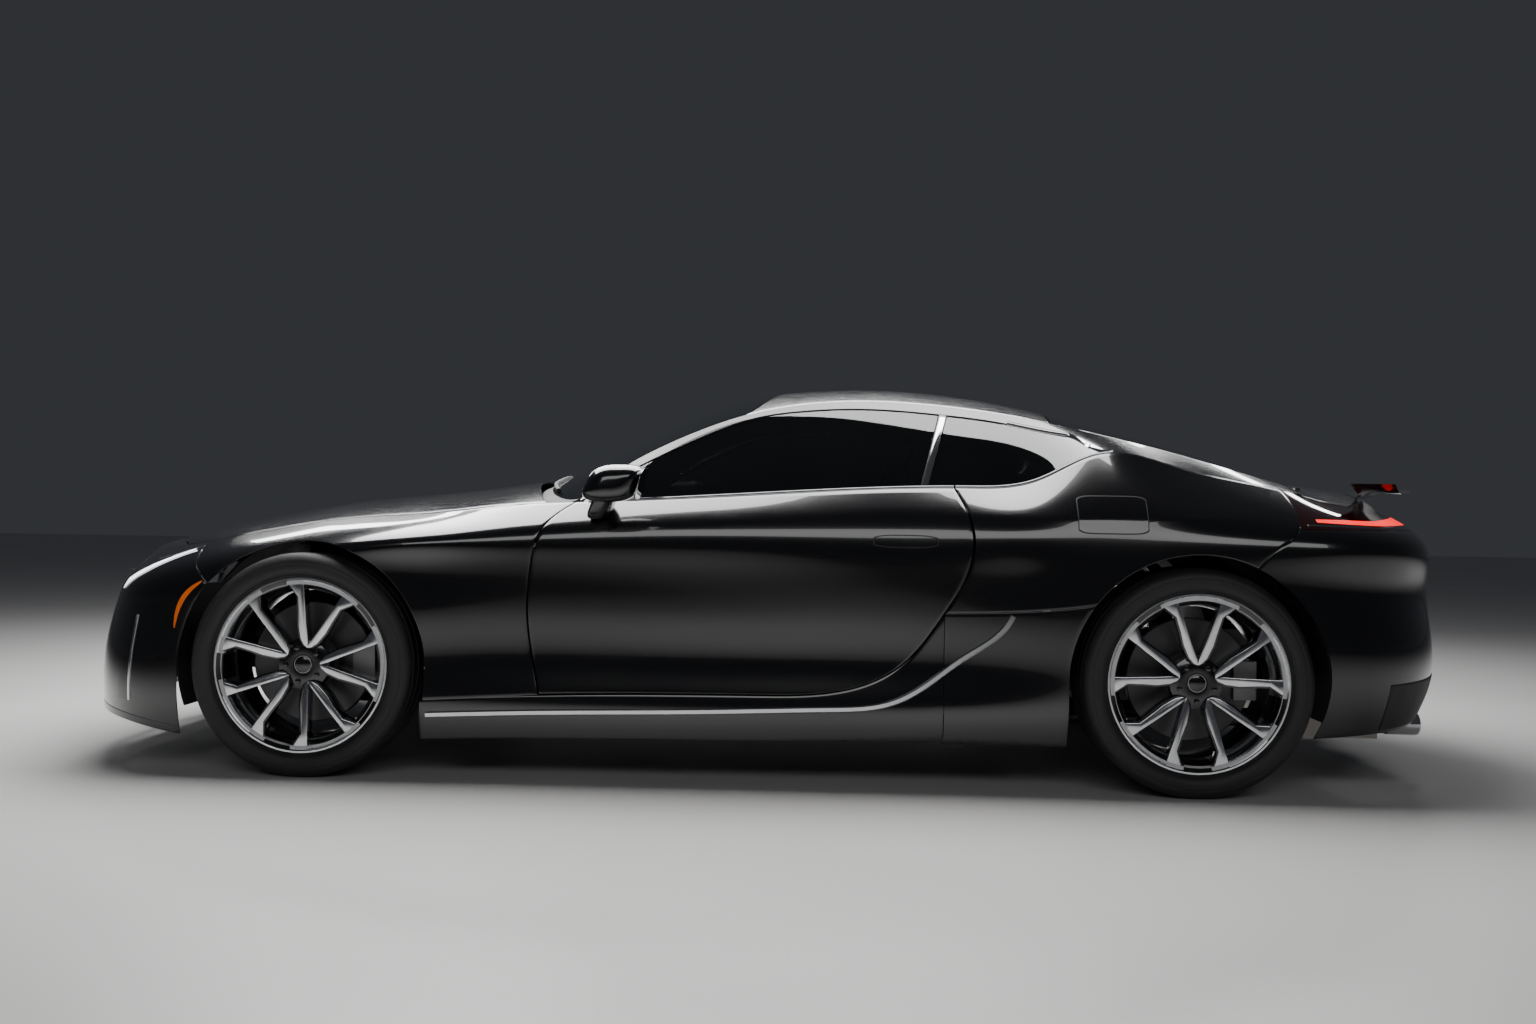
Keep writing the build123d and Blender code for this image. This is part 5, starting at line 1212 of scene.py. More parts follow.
def placed(piece, centre, side, turn):
    """Turns a wheel piece about its axle, faces it to its side of the car and puts it at its centre."""
    swing = Matrix.Rotation(turn, 4, "Y")
    piece.data.transform(Matrix.Translation(centre) @ Matrix.Diagonal((1, side, 1, 1)) @ swing)
    if side < 0:
        piece.data.flip_normals()
    return piece


machined = finish("machined alloy", (0.72, 0.73, 0.75), (0.6, 0.61, 0.63), roughness=(0.14, 0.22),
                  metallic=1.0, coat=0.5, bump=0.000004, grain=1500.0, cloud=25.0)
silver = finish("silver barrel", (0.62, 0.63, 0.65), (0.54, 0.55, 0.57), roughness=(0.24, 0.34),
                metallic=0.75, coat=0.6, bump=0.000004, grain=900.0, cloud=20.0)
# The brake disc's own dark steel, made darker still as painted shade for the shade deep inside the wheel.
shaded_disc_steel = finish("brake disc steel with painted shade", (0.13, 0.13, 0.135), (0.09, 0.09, 0.095), roughness=(0.35, 0.5),
                    metallic=1.0, bump=0.00003, grain=300.0)
caliper_grey = finish("caliper grey", (0.07, 0.07, 0.075), (0.05, 0.05, 0.055), roughness=(0.35, 0.5),
                      coat=0.3)


def tread_rubber():
    """Tyre rubber: ribbed shoulders and fine cuts across the tread, by the tyre's own lengths."""
    made = finish("tyre rubber", (0.013, 0.013, 0.013), (0.02, 0.02, 0.02), roughness=(0.5, 0.68),
                  cloud=14.0)
    nodes, link = made.node_tree.nodes, made.node_tree.links.new
    place, stretch = nodes.new("ShaderNodeUVMap"), nodes.new("ShaderNodeMapping")
    cuts = nodes.new("ShaderNodeTexBrick")
    place.uv_map = "UVMap"
    stretch.inputs["Scale"].default_value = (60, 34, 1)
    cuts.inputs["Scale"].default_value = 1.0
    cuts.inputs["Mortar Size"].default_value = 0.05
    cuts.inputs["Brick Width"].default_value, cuts.inputs["Row Height"].default_value = 0.9, 1.0
    relief = nodes.new("ShaderNodeBump")
    relief.inputs["Distance"].default_value, relief.inputs["Strength"].default_value = 0.0006, 0.7
    relief.invert = True
    link(place.outputs["UV"], stretch.inputs["Vector"])
    link(stretch.outputs["Vector"], cuts.inputs["Vector"])
    link(cuts.outputs["Fac"], relief.inputs["Height"])
    link(relief.outputs["Normal"], nodes["Principled BSDF"].inputs["Normal"])
    return made


rubber = tread_rubber()
GROOVE_HALF, GROOVE_DEPTH = 0.0045, 0.006
POCKET_SWEEP, ARC_SWEEP, NUT_CIRCLE = math.radians(18.4), math.radians(30.4), 0.0572


def tyre_profile(radius, width):
    """A tyre's section as (radius, outward) points: sidewalls, shoulders and four tread grooves."""
    w = width / 2
    wall = [(0.2665, w - 0.030), (0.2845, w - 0.024), (0.288, w - 0.014), (0.292, w - 0.010),
            (0.294, w - 0.0115), (0.297, w - 0.007), (0.306, w - 0.0025), (0.318, w), (0.331, w - 0.0005),
            (0.333, w - 0.002), (0.336, w - 0.0015), (0.346, w - 0.006), (radius - 0.009, w - 0.014),
            (radius - 0.004, w - 0.022), (radius - 0.0012, w - 0.032)]
    tread = []
    for share in (0.66, 0.24, -0.24, -0.66):
        y = share * w
        tread += [(radius, y + GROOVE_HALF), (radius - GROOVE_DEPTH, y + GROOVE_HALF * 0.7),
                  (radius - GROOVE_DEPTH, y - GROOVE_HALF * 0.7), (radius, y - GROOVE_HALF)]
    return wall + tread + [(r, -y) for r, y in reversed(wall)] + [(0.272, 0.0)]


def wheel(where_at, side, tyre_size, turn, body, names):
    """One wheel with its tyre, rim, hub, nuts and brake disc, riding its body."""
    radius, width = tyre_size
    w, centre = width / 2, (where_at, side * HALF_TRACK, radius)
    lip, face = w - RIM_INSET + 0.0083, w - RIM_INSET + 0.0035
    tyre = turned("tyre", tyre_profile(radius, width), steps=160)
    rim_plan = [(RIM_RADIUS, lip), (RIM_RADIUS, lip - 0.006), (BEAD_RADIUS, lip - 0.009),
                (BEAD_RADIUS - 0.018, 0.02), (BEAD_RADIUS - 0.012, -w + 0.03), (RIM_RADIUS, -lip + 0.006),
                (RIM_RADIUS, -lip), (BEAD_RADIUS - 0.008, -lip), (BEAD_RADIUS - 0.022, -w + 0.03),
                (BEAD_RADIUS - 0.028, 0.02), (0.250, lip - 0.020), (0.262, lip - 0.005),
                (0.2745, lip - 0.004), (0.2785, lip)]
    pocket_plan = [
        (0.2775, lip - 0.0010), (0.2775, lip - 0.004), (0.262, lip - 0.008), (0.2475, lip - 0.030),
        (0.2445, 0.005), (0.240, 0.005), (0.243, lip - 0.032), (0.258, lip - 0.007), (0.2735, lip - 0.0014)]
    arc_plan = [
        (0.2755, lip - 0.0018), (0.268, lip - 0.006), (0.2565, lip - 0.016), (0.2455, lip - 0.038),
        (0.2425, 0.0), (0.2475, 0.0), (0.2505, lip - 0.038), (0.2615, lip - 0.013), (0.2765, lip - 0.005)]
    hub_plan = [
        (0.0, face - 0.024), (0.031, face - 0.024), (0.033, face - 0.021), (0.048, face - 0.020),
        (0.066, face - 0.0225), (0.083, face - 0.030), (0.088, face - 0.055), (0.0, face - 0.055)]
    cap_plan = [
        (0.0, face - 0.0175), (0.024, face - 0.0182), (0.0268, face - 0.0205), (0.0268, face - 0.026),
        (0.0, face - 0.026)]
    ring_plan = [
        (0.0268, face - 0.0196), (0.0282, face - 0.0196), (0.0285, face - 0.024), (0.0266, face - 0.024)]
    barrel = turned("rim", rim_plan, steps=160)
    bright = rounded(arms("bright_arms", face, 0.020, -0.0016, 0.0), 0.0018)
    ribs = rounded(arms("black_ribs", face - 0.0022, 0.046, 0.001, 0.0035), 0.001)
    pockets = joined("pockets", [
        turned(f"pocket_{k}", pocket_plan, steps=10, start=(k + 0.5) * PAIR_STEP - POCKET_SWEEP / 2,
               sweep=POCKET_SWEEP) for k in range(PAIRS)])
    arcs = joined("silver_arcs", [
        turned(f"arc_{k}", arc_plan, steps=16, start=k * PAIR_STEP - ARC_SWEEP / 2, sweep=ARC_SWEEP)
        for k in range(PAIRS)])
    hub = turned("hub", hub_plan, steps=96)
    cap = turned("cap", cap_plan, steps=64)
    ring = turned("cap_ring", ring_plan, steps=64)
    nuts = []
    for k in range(PAIRS):
        angle = (k + 0.5) * PAIR_STEP
        x, z = NUT_CIRCLE * math.cos(angle), NUT_CIRCLE * math.sin(angle)
        foot, head = (x, face - 0.028, z), (x, face - 0.0135, z)
        nuts.append(cylinder(f"nut_{k}", 0.0095, foot, head, sides=6, tip=0.0085))
    nuts = rounded(joined("nuts", nuts), 0.0008)
    disc = turned("disc", [(0.078, -0.0085), (0.196, -0.0085), (0.199, -0.0115), (0.199, -0.031),
                           (0.196, -0.034), (0.078, -0.034)], steps=128)
    bell = turned("disc_bell", [(0.0, 0.02), (0.074, 0.02), (0.085, 0.008), (0.088, -0.0085),
                                (0.0, -0.0085)], steps=96)
    for piece, material, key in (
        (tyre, rubber, "tyre_rubber"), (barrel, machined, "wheel_alloy"), (bright, machined, "wheel_alloy"),
        (ribs, gloss_black, "wheel_alloy"), (pockets, gloss_black, "wheel_alloy"),
        (arcs, silver, "wheel_alloy"), (hub, gloss_black, "wheel_alloy"), (cap, gloss_black, "wheel_alloy"),
        (ring, machined, "wheel_alloy"), (nuts, gloss_black, "cast_metal"),
        (disc, shaded_disc_steel, "cast_metal"), (bell, caliper_grey, "cast_metal"),
    ):
        placed(piece, centre, side, turn)
        piece.name = piece.data.name = f"{piece.name.split('.')[0]}_{names}"
        fixed(piece, material, body)
    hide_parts(f"tyre_{names}")
    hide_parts(f"rim_{names}")


FRONT_TURN, REAR_TURN = math.radians(74), math.radians(90)
for side, hand in SIDES:
    wheel(X_AXLE_F, side, FRONT_TYRE, -FRONT_TURN, f"wheel_front_{hand}", f"front_{hand}")
    wheel(X_AXLE_R, side, REAR_TYRE, -REAR_TURN, f"wheel_rear_{hand}", f"rear_{hand}")

# ------------------------------------------------------------ bright trim
# Polished strips: one along each belt line and round the rear of the quarter glass, and
# one down each centre pillar.
chrome = finish("polished strip", (0.78, 0.79, 0.8), (0.7, 0.71, 0.72), roughness=(0.06, 0.1), metallic=1.0,
                cloud=12.0)


def strip(name, path, width_way, wide, deep, side, count=120, out=0.001):
    """A flat strip along a path on the skin: width_way gives the direction across it."""
    t = np.linspace(0, 1, count)
    line = path(t)
    along = np.gradient(line, axis=0)
    along /= np.linalg.norm(along, axis=1, keepdims=True)
    across = width_way(t)
    across = across - along * np.sum(across * along, axis=1, keepdims=True)
    across /= np.linalg.norm(across, axis=1, keepdims=True)
    normal = np.cross(along, across)
    normal *= np.sign(np.sum(normal * (line - HEART), axis=1, keepdims=True))
    shape = [(-0.5, -deep), (-0.5, out * 0.5), (-0.3, out), (0.3, out), (0.5, out * 0.5), (0.5, -deep),
             (-0.5, -deep)]
    loop = np.stack([line + across * wide * a + normal * b for a, b in shape], axis=1)
    if side > 0:
        loop = mirrored(loop)
    piece = merged(laid_grid(name, loop), gap=0.000001)
    bpy.ops.object.mode_set(mode="EDIT")
    bpy.ops.mesh.select_all(action="DESELECT")
    bpy.ops.mesh.select_non_manifold()
    bpy.ops.mesh.edge_face_add()
    bpy.ops.mesh.select_all(action="SELECT")
    bpy.ops.mesh.normals_make_consistent(inside=False)
    bpy.ops.object.mode_set(mode="OBJECT")
    smoothed(STRIP_ANGLE)
    return piece


def towards(*way):
    """One direction across a strip, the same all along it."""
    return lambda t: np.array(way, float) * np.ones((len(t), 1))


UP, BACK_AND_UP = towards(0, 0, 1), towards(0.6, 0, 1)
REARWARD, ACROSS = towards(1, 0, 0), towards(0, 1, 0.2)


def belt_path(start, end):
    """The line just above the belt, between two stations."""

    def at(t):
        x = start + (end - start) * t
        return upper_side(x, np.full_like(x, 0.012))

    return at


def tail_path(t):
    """Round the rear of the quarter glass, from the belt up to the roof rail."""
    x = (WINDOW_END + 0.004) + (mid(0.80) - WINDOW_END) * t
    return upper_side(x, np.maximum(0.0, glass_top(x)) + 0.012)


def pillar_path(t):
    """Up the black post behind the door glass."""
    share = 0.03 + 0.93 * t
    return upper_side(pillar(share) + PILLAR_WIDTH * 0.55, share * glass_top(pillar(share)))


for side, hand in SIDES:
    for name, path, way, wide, body in (
        ("belt_door", belt_path(mid(0.318), DOOR_TOP_REAR[0] - 0.003), UP, 0.011, f"door_{hand}"),
        ("belt_quarter", belt_path(DOOR_TOP_REAR[0] + 0.003, WINDOW_END), UP, 0.011, "body"),
        ("window_tail", tail_path, BACK_AND_UP, 0.014, "body"),
        ("pillar_strip", pillar_path, REARWARD, 0.017, "body"),
    ):
        fixed(strip(f"{name}_{hand}", path, way, wide, 0.003, side, out=0.002), chrome, body)

# ------------------------------------------------------------ handles, fuel flap and side lamps
# Flush handles, each over a thin black plate that paints the shadow round its edge, a rounded
# fuel flap in the left haunch, and a slim amber lamp ahead of each front wheel.
def pad_on_flank(name, plan, cells, depth, side, lift):
    """A small plate lying on the side's skin over a plan patch of (station, height)."""
    return skin(name, on_flank(plan), cells, depth=depth, rolled=0, side=side, lift=lift)


def grown(place, margin):
    """A place on the side (start, end, low, high) with a margin all round."""
    return place[0] - margin, place[1] + margin, place[2] - margin, place[3] + margin


def lens_plan(start, end, low, high, power=3.0):
    """A rounded slim plan patch between two stations and two heights."""

    def at(u, v):
        u = np.asarray(u, float)
        bulge = (1 - np.abs(2 * u - 1) ** power) ** (1 / power)
        middle, half = (low + high) / 2, (high - low) / 2
        return np.stack([start + (end - start) * u, middle + half * bulge * (2 * v - 1) + 0 * u], axis=-1)

    return at


HANDLE = (X_FRONT + 2.763, X_FRONT + 2.973, 0.779, 0.813)
for side, hand in SIDES:
    handle = pad_on_flank(f"handle_{hand}", lens_plan(*HANDLE), (40, 8), 0.010, side, 0.004)
    # Painted shadow: a thin black plate a little larger than the handle lies under it on the skin.
    painted_handle_shadow = pad_on_flank(f"handle_shadow_{hand}", lens_plan(*grown(HANDLE, 0.004)), (40, 8), 0.002, side,
                          0.0006)
    fixed(handle, paint, f"door_{hand}")
    fixed(painted_handle_shadow, plastic, f"door_{hand}")

FLAP, FLAP_SQUARE = (aft(-0.383), aft(-0.159), 0.832, 0.948), 6.0
flap_edge = pad_on_flank("fuel_flap_shut_line", lens_plan(*grown(FLAP, SHUT_GAP), FLAP_SQUARE), (40, 16),
                         0.001, -1, 0.0004)
flap = pad_on_flank("fuel_flap_skin", lens_plan(*FLAP, FLAP_SQUARE), (40, 16), 0.006, -1, 0.0012)
fixed(flap_edge, plastic)
fixed(flap, paint, "fuel_flap", "fuel_flap")

amber = finish("amber lens", (0.85, 0.16, 0.01), (0.6, 0.08, 0.005), roughness=(0.1, 0.16), coat=1.0,
               emission=(1.0, 0.2, 0.02), strength=0.15)


def marker_plan(u, v):
    """The amber lamp's slim curved plan, ahead of the front wheel."""
    spine = curve((X_FRONT + 0.497, 0.478), (X_FRONT + 0.508, 0.545), (X_FRONT + 0.545, 0.600),
                  (X_FRONT + 0.592, 0.632))
    points = spine(u)
    half = 0.0085 * np.sqrt(np.maximum(0.02, np.sin(math.pi * np.clip(u, 0, 1)))) + 0 * v
    turn = np.stack([np.full_like(half, -0.75), np.full_like(half, 0.66)], axis=-1)
    return points + turn * (half * (1 - 2 * v))[..., None]


for side, hand in SIDES:
    fixed(pad_on_flank(f"side_marker_{hand}", marker_plan, (40, 6), 0.006, side, 0.0015), amber)

# ------------------------------------------------------------ sill strakes
# A bright blade clipped along the foot of each door, which sweeps up behind it in front of
# the rear wheel.
def strake_path(t):
    """The blade's line, from the front wheel to the haunch."""
    spine = curve((fore(0.415), 0.214), (mid(0.27), 0.229), (mid(0.45), 0.243), (mid(0.60), 0.259),
                  (mid(0.665), 0.283),
                  (mid(0.70), 0.335), (mid(0.745), 0.430), (mid(0.79), 0.532), (mid(0.797), 0.566))
    places = spine(t)
    return flank(places[..., 0], places[..., 1])


for side, hand in SIDES:
    blade = strip(f"sill_blade_{hand}", strake_path, UP, 0.019, 0.006, side, count=160, out=0.007)
    fixed(blade, chrome)

# ------------------------------------------------------------ door mirrors
# A painted shell on a short black foot on each door. Its back is cut off slanting, and the
# glass sits there and faces back.
def reshaped(piece, change):
    """Moves every point of a piece by a rule on its places."""
    flat = np.empty(len(piece.data.vertices) * 3)
    piece.data.vertices.foreach_get("co", flat)
    piece.data.vertices.foreach_set("co", np.ascontiguousarray(change(flat.reshape(-1, 3)), float).ravel())
    piece.data.update()
    return piece


def pod(name, centre, half, square=2.8, lean=(0.0, 0.0), segments=56, rings=36):
    """A round-cornered closed form: a sphere pressed towards a box; lean tilts it by its height."""
    bpy.ops.object.select_all(action="DESELECT")
    bpy.ops.mesh.primitive_uv_sphere_add(segments=segments, ring_count=rings, radius=1)
    piece = bpy.context.object
    piece.name = piece.data.name = name

    def press(places):
        places = places / np.sum(np.abs(places) ** square, axis=1, keepdims=True) ** (1 / square)
        places = places * np.array(half)
        places[:, :2] += places[:, 2:] * np.array(lean)
        return places + np.array(centre)

    reshaped(piece, press)
    bpy.ops.object.shade_smooth()
    return piece


def flipped(piece):
    """The same piece on the right side of the car."""
    reshaped(piece, mirrored)
    piece.data.flip_normals()
    return piece


MIRROR, MIRROR_HALF, MIRROR_BACK = (-0.438, -1.003, 0.966), (0.088, 0.098, 0.060), -0.352
mirror_glass = finish("mirror glass", (0.5, 0.52, 0.55), (0.45, 0.47, 0.5), roughness=(0.02, 0.04),
                      metallic=1.0, cloud=9.0)


def mirror_back(places):
    """Cuts a mirror shell's back off along a slanting plane."""
    back = MIRROR_BACK + 0.3 * (places[:, 2] - MIRROR[2])
    return np.stack([np.minimum(places[:, 0], back), places[:, 1], places[:, 2]], axis=1)


for side, hand in SIDES:
    shell = pod(f"mirror_shell_{hand}", MIRROR, MIRROR_HALF, 3.0, (0.42, 0.10))
    reshaped(shell, mirror_back)
    foot = pod(f"mirror_foot_{hand}", (-0.490, -0.918, 0.893), (0.034, 0.085, 0.042), 3.2, (0.5, -0.6))
    pane = pod(f"mirror_pane_{hand}", (MIRROR_BACK + 0.0002, MIRROR[1], MIRROR[2]), (0.0025, 0.086, 0.049),
               3.4, (0.3, 0.1))
    for piece, material, key in ((shell, paint, "body_paint"), (foot, gloss_black, "black_trim"),
                                 (pane, mirror_glass, "black_trim")):
        if side > 0:
            flipped(piece)
        fixed(piece, material, f"door_{hand}")
    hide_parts(f"door_mirror_{hand}")

# ------------------------------------------------------------ seats
# Leather seats with foam under them: sewn channels down the middle of each cushion and
# back, firm bolsters at the sides, and a separate headrest in front.
def leather_of(name, colour, other):
    """Leather with pores, soft creases and a low sheen."""
    made = finish(name, colour, other, roughness=(0.38, 0.5), bump=0.0002, grain=900.0, cloud=18.0)
    made.node_tree.nodes["Principled BSDF"].inputs["Sheen Weight"].default_value = 0.15
    return made


leather = leather_of("black leather", (0.022, 0.021, 0.02), (0.015, 0.014, 0.013))
SEAT_Y, SEAT_X, REAR_SEAT_SHARE, SEAT_FILL = 0.370, -0.236, 0.8, 0.85
CHANNEL, CHANNEL_DEEP, CHANNEL_WIDE, DISH_DEEP, DISH_HALF = 0.062, 0.008, 0.007, 0.020, 0.19
CHANNEL_PLACES = (-1.5, -0.5, 0.5, 1.5)


def sewn(piece, centre_y, axis, way):
    """Sinks four sewn channels along a cushion's face and a dish between its bolsters."""

    def sink(places):
        across = places[:, 1] - centre_y
        lines = sum(np.exp(-((across - k * CHANNEL) / CHANNEL_WIDE) ** 2) for k in CHANNEL_PLACES)
        middle = places[:, axis].mean()
        facing = np.clip((places[:, axis] - middle) * way / 0.03, 0, 1)
        places[:, axis] -= way * CHANNEL_DEEP * lines * facing
        dish = np.clip(1 - (across / DISH_HALF) ** 2, 0, 1)
        places[:, axis] -= way * DISH_DEEP * dish * facing
        return places

    return reshaped(piece, sink)


def cushion(piece, node):
    """Dresses a padded piece in leather, fixes it to the body and hides the plain part that it stands for.
    """
    wear(piece, leather)
    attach(piece, "body")
    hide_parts(node)


def narrowed(piece, centre_y):
    """Draws the shoulders of a seat back in towards its middle."""

    def draw(places):
        narrow = 1 - 0.25 * np.clip((places[:, 2] - 0.72) / 0.2, 0, 1) ** 2
        return np.stack([places[:, 0], centre_y + (places[:, 1] - centre_y) * narrow, places[:, 2]], axis=1)

    return reshaped(piece, draw)


for hand, y in (("left", -SEAT_Y), ("right", SEAT_Y)):
    cushion(sewn(pod(f"seat_cushion_{hand}", (SEAT_X + 0.265, y, 0.415), (0.270, 0.248, 0.088), 4.5,
                     segments=96, rings=60), y, 2, 1), "front_seats")
    back = pod(f"seat_back_{hand}", (SEAT_X + 0.610, y, 0.680), (0.062, 0.240, 0.245), 4.2, (0.36, 0.0),
               segments=96, rings=60)
    cushion(sewn(narrowed(back, y), y, 0, -1), "front_seats")
    cushion(pod(f"headrest_{hand}", (SEAT_X + 0.716, y, 0.985), (0.046, 0.125, 0.082), 3.4, (0.18, 0.0)),
            "front_seats")
    rear_y = REAR_SEAT_SHARE * y
    cushion(sewn(pod(f"rear_cushion_{hand}", (0.790, rear_y, 0.390), (0.088, 0.270, 0.072), 4.0,
                     segments=80, rings=48), rear_y, 2, 1), "rear_seat")
    cushion(sewn(pod(f"rear_back_{hand}", (0.862, rear_y, 0.630), (0.040, 0.265, 0.215), 4.0, (0.20, 0.0),
                     segments=80, rings=48), rear_y, 0, -1), "rear_seat")

# ------------------------------------------------------------ dashboard and steering wheel
# A soft-skinned dashboard with a hood over the instruments and a wide screen; the wheel
# has a leather rim, a padded boss and three spokes.
DASH_FRONT = -1.034
dash = rounded(slab("dash_body", [(DASH_FRONT, 0.56), (-0.60, 0.56), (-0.51, 0.70), (-0.535, 0.775),
                                  (-0.60, 0.812), (-0.80, 0.838),
                                  (DASH_FRONT, 0.80)], -0.655, 0.655), 0.018, 3)
hood = pod("instrument_hood", (-0.620, -SEAT_Y, 0.815), (0.085, 0.190, 0.045), 3.5)
screen_panel = rounded(slab("dash_screen",
                            [(-0.585, 0.815), (-0.595, 0.885), (-0.602, 0.885), (-0.592, 0.815)],
                            -0.13, 0.26), 0.002)
fixed(dash, leather, "body", "dashboard")
fixed(hood, leather)
fixed(screen_panel, gloss_black)

WHEEL_CENTRE, WHEEL_AXIS = Vector((-0.335, -SEAT_Y, 0.735)), Vector((-0.92, 0.0, -0.39)).normalized()
across_wheel = Vector((0, 1, 0))
wheel_frame = Matrix((across_wheel, WHEEL_AXIS.cross(across_wheel), WHEEL_AXIS)).transposed().to_4x4()
wheel_frame.translation = WHEEL_CENTRE
bpy.ops.object.select_all(action="DESELECT")
bpy.ops.mesh.primitive_torus_add(major_radius=0.175, minor_radius=0.0145, major_segments=96,
                                 minor_segments=20)
hoop = bpy.context.object
hoop.name = hoop.data.name = "steering_hoop"
bpy.ops.object.shade_smooth()
boss = pod("steering_boss", (0, 0, 0.012), (0.078, 0.060, 0.026), 3.0)
arms_of_wheel = joined("steering_spokes", [
    pod("spoke_left", (-0.115, -0.004, 0.008), (0.065, 0.017, 0.007), 3.0),
    pod("spoke_right", (0.115, -0.004, 0.008), (0.065, 0.017, 0.007), 3.0),
    pod("spoke_low", (0.0, -0.110, 0.008), (0.020, 0.068, 0.007), 3.0)])
column = cylinder("steering_column", 0.024, (0, 0, 0.03), (0, 0, 0.185))
for piece, material in ((hoop, leather), (boss, leather), (arms_of_wheel, plastic), (column, plastic)):
    piece.data.transform(wheel_frame)
    fixed(piece, material)
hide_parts("steering_wheel")
for hand in ("left", "right"):
    wear(bpy.data.objects[f"door_card_{hand}"], leather)

# ------------------------------------------------------------ splitter, diffuser and vents
# Black blades and panels low on the bumpers: a splitter under the nose, corner vents with a
# bright edge, and a finned diffuser between the exhaust tips.
def low_band(start, end, rise, base=0.0):
    """A band of the side's skin above the bottom edge, between two stations."""

    def at(u, v):
        station = start + (end - start) * np.asarray(u, float)
        return flank(station, BOTTOM.height(station) + base + rise * np.asarray(v, float))

    return at


SPLITTER_HIGH, DIFFUSER_HIGH = 0.026, 0.150
fixed(skin("splitter", both_sides(low_band(S_NOSE, fore(-ARCH) - 0.01, SPLITTER_HIGH)), (140, 4),
           depth=0.012, rolled=0.002, lift=0.0015), gloss_black)
diffuser = fixed(skin("diffuser", both_sides(low_band(S_TAIL, aft(0.62), DIFFUSER_HIGH, 0.012)), (120, 14),
                      depth=0.008, rolled=0.002, lift=0.003), plastic)
facing_back = Matrix.Rotation(-math.pi / 2, 4, "Z")
for side in (-1, 1):
    place = side * TIP_Y
    cut(diffuser, tip_room(place))
    bore = [(TIP_RADIUS, -0.09), (TIP_RADIUS + 0.0035, -0.09), (TIP_RADIUS + 0.0035, 0.014),
            (TIP_RADIUS + 0.001, 0.018), (TIP_RADIUS - 0.003, 0.016), (TIP_RADIUS - 0.003, -0.09)]
    ring = turned(f"tip_ring_{side + 1}", bore, steps=72)
    ring.data.transform(Matrix.Translation((X_REAR - 0.104, place, TIP_Z)) @ facing_back)
    fixed(merged(ring), chrome)
FIN_PITCH, FIN_HALF = 0.105, 0.004
FIN_FRONT, FIN_HIGH = X_REAR - 0.20, 0.292
FIN_PLAN = [(FIN_FRONT, 0.150), (X_REAR - 0.062, 0.176), (X_REAR - 0.030, FIN_HIGH), (FIN_FRONT, FIN_HIGH)]
for k in (-2, -1, 1, 2):
    fin = slab(f"diffuser_fin_{k}", FIN_PLAN, FIN_PITCH * k - FIN_HALF, FIN_PITCH * k + FIN_HALF)
    fixed(rounded(fin, 0.0015), plastic)

VENT_STATION, VENT_LEAN, VENT_LOW, VENT_HIGH = nose(64), 0.01, 0.235, 0.515


def vent_plan(u, v):
    """The corner vent's plan: narrow at the top, wide at the foot."""
    height = VENT_LOW + (VENT_HIGH - VENT_LOW) * v
    wide = (0.060 - 0.042 * v) * (1 + 0 * u)
    return np.stack([VENT_STATION + VENT_LEAN * v - wide * (1 - u), height + 0 * u], axis=-1)


def vent_edge(t):
    """The vent's rear edge on the skin, from its foot up."""
    return flank(VENT_STATION + VENT_LEAN * t, VENT_LOW + (VENT_HIGH - VENT_LOW) * t)


for side, hand in SIDES:
    vent = skin(f"corner_vent_{hand}", on_flank(vent_plan), (14, 30), depth=0.004, rolled=0, side=side,
                lift=0.0012)
    fixed(vent, gloss_black)
    fixed(strip(f"vent_edge_{hand}", vent_edge, REARWARD, 0.009, 0.003, side, out=0.005), chrome)

# ------------------------------------------------------------ grille surround
# A bright strip down each side of the grille's mouth, clipped to the edge of the cover's
# opening. The bars behind it are plain parts.
def mouth_edge(t):
    """The mouth's left edge on the nose's skin, from its foot up."""
    knots = np.linspace(0, 1, len(MOUTH))
    heights = np.interp(t, knots, [z for _, z in MOUTH])
    wide = np.interp(t, knots, [HALF * share for share, _ in MOUTH]) + 0.004
    stations = np.linspace(S_NOSE, nose(60), 60)
    rows = flank(stations[None, :], heights[:, None] + 0 * stations[None, :])
    reach = np.array([np.interp(w, -row[:, 1], row[:, 0]) for w, row in zip(wide, rows)])
    return np.stack([reach, -wide, heights], axis=-1)


for side, hand in SIDES:
    fixed(strip(f"grille_edge_{hand}", part_of(mouth_edge, 0.02, 0.84), ACROSS, 0.009, 0.004, side,
                count=80, out=0.004), chrome)

# ------------------------------------------------------------ wipers
# Two black arms with rubber blades, parked one behind the other along the foot of the
# windscreen.
WIPERS = [((mid(0.232), -0.48), (mid(0.243), 0.08)), ((mid(0.226), -0.02), (mid(0.262), 0.55))]
WIPER_BOW, WIPER_ON_GLASS, WIPER_LIFT = 0.020, 0.012, 0.010


def wiper_path(base, end):
    """A wiper's line over the glass and the scuttle, between two places in plan."""

    def at(t):
        x = base[0] + (end[0] - base[0]) * t + WIPER_BOW * np.sin(math.pi * t)
        y = base[1] + (end[1] - base[1]) * t
        share = y / edge_at(x)[0]
        return roof(np.maximum(x, screen_low(share) + WIPER_ON_GLASS), share) + np.array([0, 0, WIPER_LIFT])

    return at


for k, (base, end) in enumerate(WIPERS):
    fixed(strip(f"wiper_{k}", wiper_path(base, end), towards(1, 0, 0.4), 0.014, 0.007, -1, count=60,
                out=0.006),
          plastic)

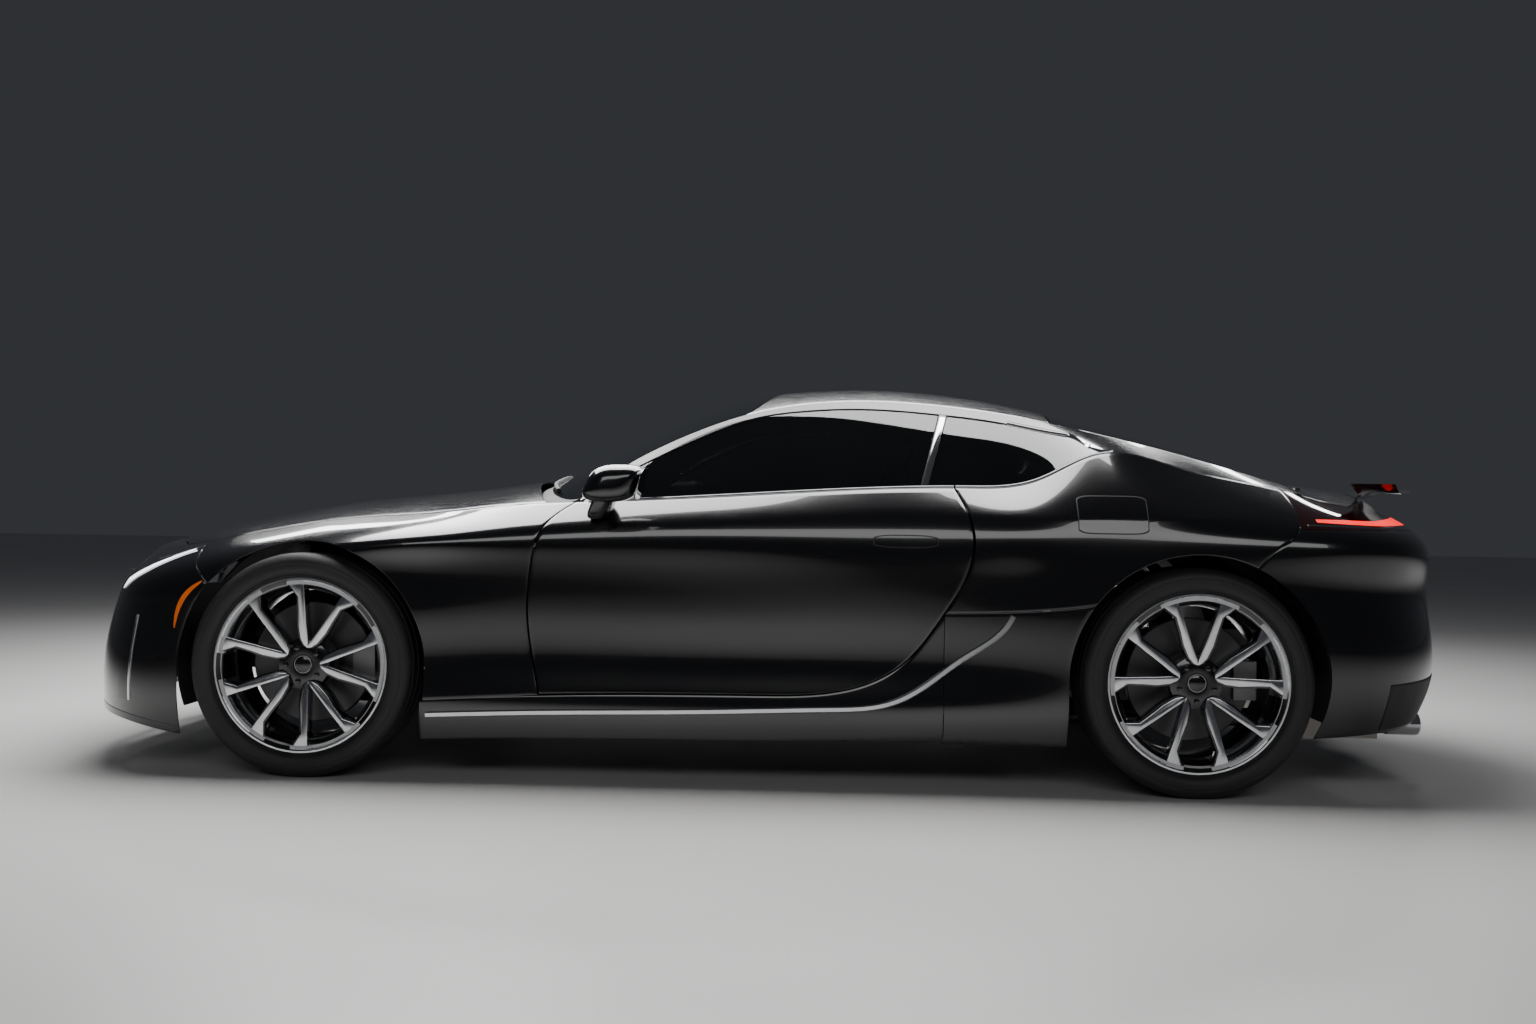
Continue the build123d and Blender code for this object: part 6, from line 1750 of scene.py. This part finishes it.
# ------------------------------------------------------------ finishes of the plain parts
# Structure, axles, exhaust, engine and grille bars keep their own shapes and get their
# finishes here, each by the slot that it has.
steel = finish("underbody steel", (0.02, 0.02, 0.021), (0.035, 0.034, 0.033), roughness=(0.5, 0.7),
               bump=0.0002, cloud=9.0)
cast = finish("cast metal", (0.28, 0.28, 0.29), (0.2, 0.2, 0.2), roughness=(0.35, 0.5), metallic=0.9,
              bump=0.0001)
alloy = finish("bright alloy", (0.62, 0.63, 0.65), (0.52, 0.53, 0.55), roughness=(0.16, 0.24), metallic=1.0,
               coat=0.4)
exhaust = finish("exhaust steel", (0.4, 0.39, 0.37), (0.3, 0.28, 0.25), roughness=(0.25, 0.4), metallic=1.0)
FINISHES = {
    "body_paint": paint, "black_trim": plastic, "window_glass": glass, "lamp_cover": lamp_glass,
    "red_lamp": smoked,
    "cabin_leather": leather, "cabin_trim": plastic, "underbody_steel": steel, "cast_metal": cast,
    "exhaust_steel": exhaust, "wheel_alloy": alloy, "tyre_rubber": rubber,
}
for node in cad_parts.values():
    for place in node.material_slots:
        key = place.material.name.split(".")[0] if place.material else ""
        if key in FINISHES:
            place.material = FINISHES[key]

# ------------------------------------------------------------ room
# A pale plain floor under a soft ceiling light, a bar of light behind the car and a wide
# fill in front of it, with darkness round them.
bpy.ops.mesh.primitive_plane_add(size=60)
floor = bpy.context.object
floor.name = "floor"
wear(floor, finish("pale floor", (0.62, 0.61, 0.6), (0.58, 0.57, 0.56), roughness=(0.3, 0.4), cloud=0.8))


def soft_light(name, place, aim, size, power):
    """A wide soft light over or behind the car."""
    lamp = bpy.data.lights.new(name, "AREA")
    lamp.shape, lamp.size, lamp.size_y, lamp.energy = "RECTANGLE", size[0], size[1], power
    made = bpy.data.objects.new(name, lamp)
    bpy.context.collection.objects.link(made)
    made.location = place
    made.rotation_euler = (Vector(aim) - Vector(place)).to_track_quat("-Z", "Y").to_euler()


soft_light("ceiling", (-0.45, 0.75, 3.2), (-0.45, 0.76, 0), (4.3, 3.3), 520)
soft_light("bar", (0.0, 3.6, 3.2), (0.0, 0.0, 0.6), (9.0, 0.3), 120)
soft_light("fill", (0.5, -8.0, 4.6), (0, -1.5, 0.0), (9.0, 2.0), 130)
world = bpy.data.worlds.new("room")
bpy.context.scene.world = world
world.use_nodes = True
world.node_tree.nodes["Background"].inputs["Color"].default_value = (0.035, 0.037, 0.042, 1)
world.node_tree.nodes["Background"].inputs["Strength"].default_value = 1.0

# ------------------------------------------------------------ camera
# Level with the belt, a little behind the door's middle, as the car is seen from its side.
camera = bpy.data.objects.new("camera", bpy.data.cameras.new("camera"))
bpy.context.collection.objects.link(camera)
bpy.context.scene.camera = camera
camera.data.lens = 31.3
YAW, ROLL = math.radians(2.38), math.radians(0.86)
camera.location = (0.220, -5.175, 0.883)
level = Matrix.Rotation(math.pi / 2, 3, "X")
camera.rotation_euler = (Matrix.Rotation(YAW, 3, "Z") @ level @ Matrix.Rotation(ROLL, 3, "Z")).to_euler()
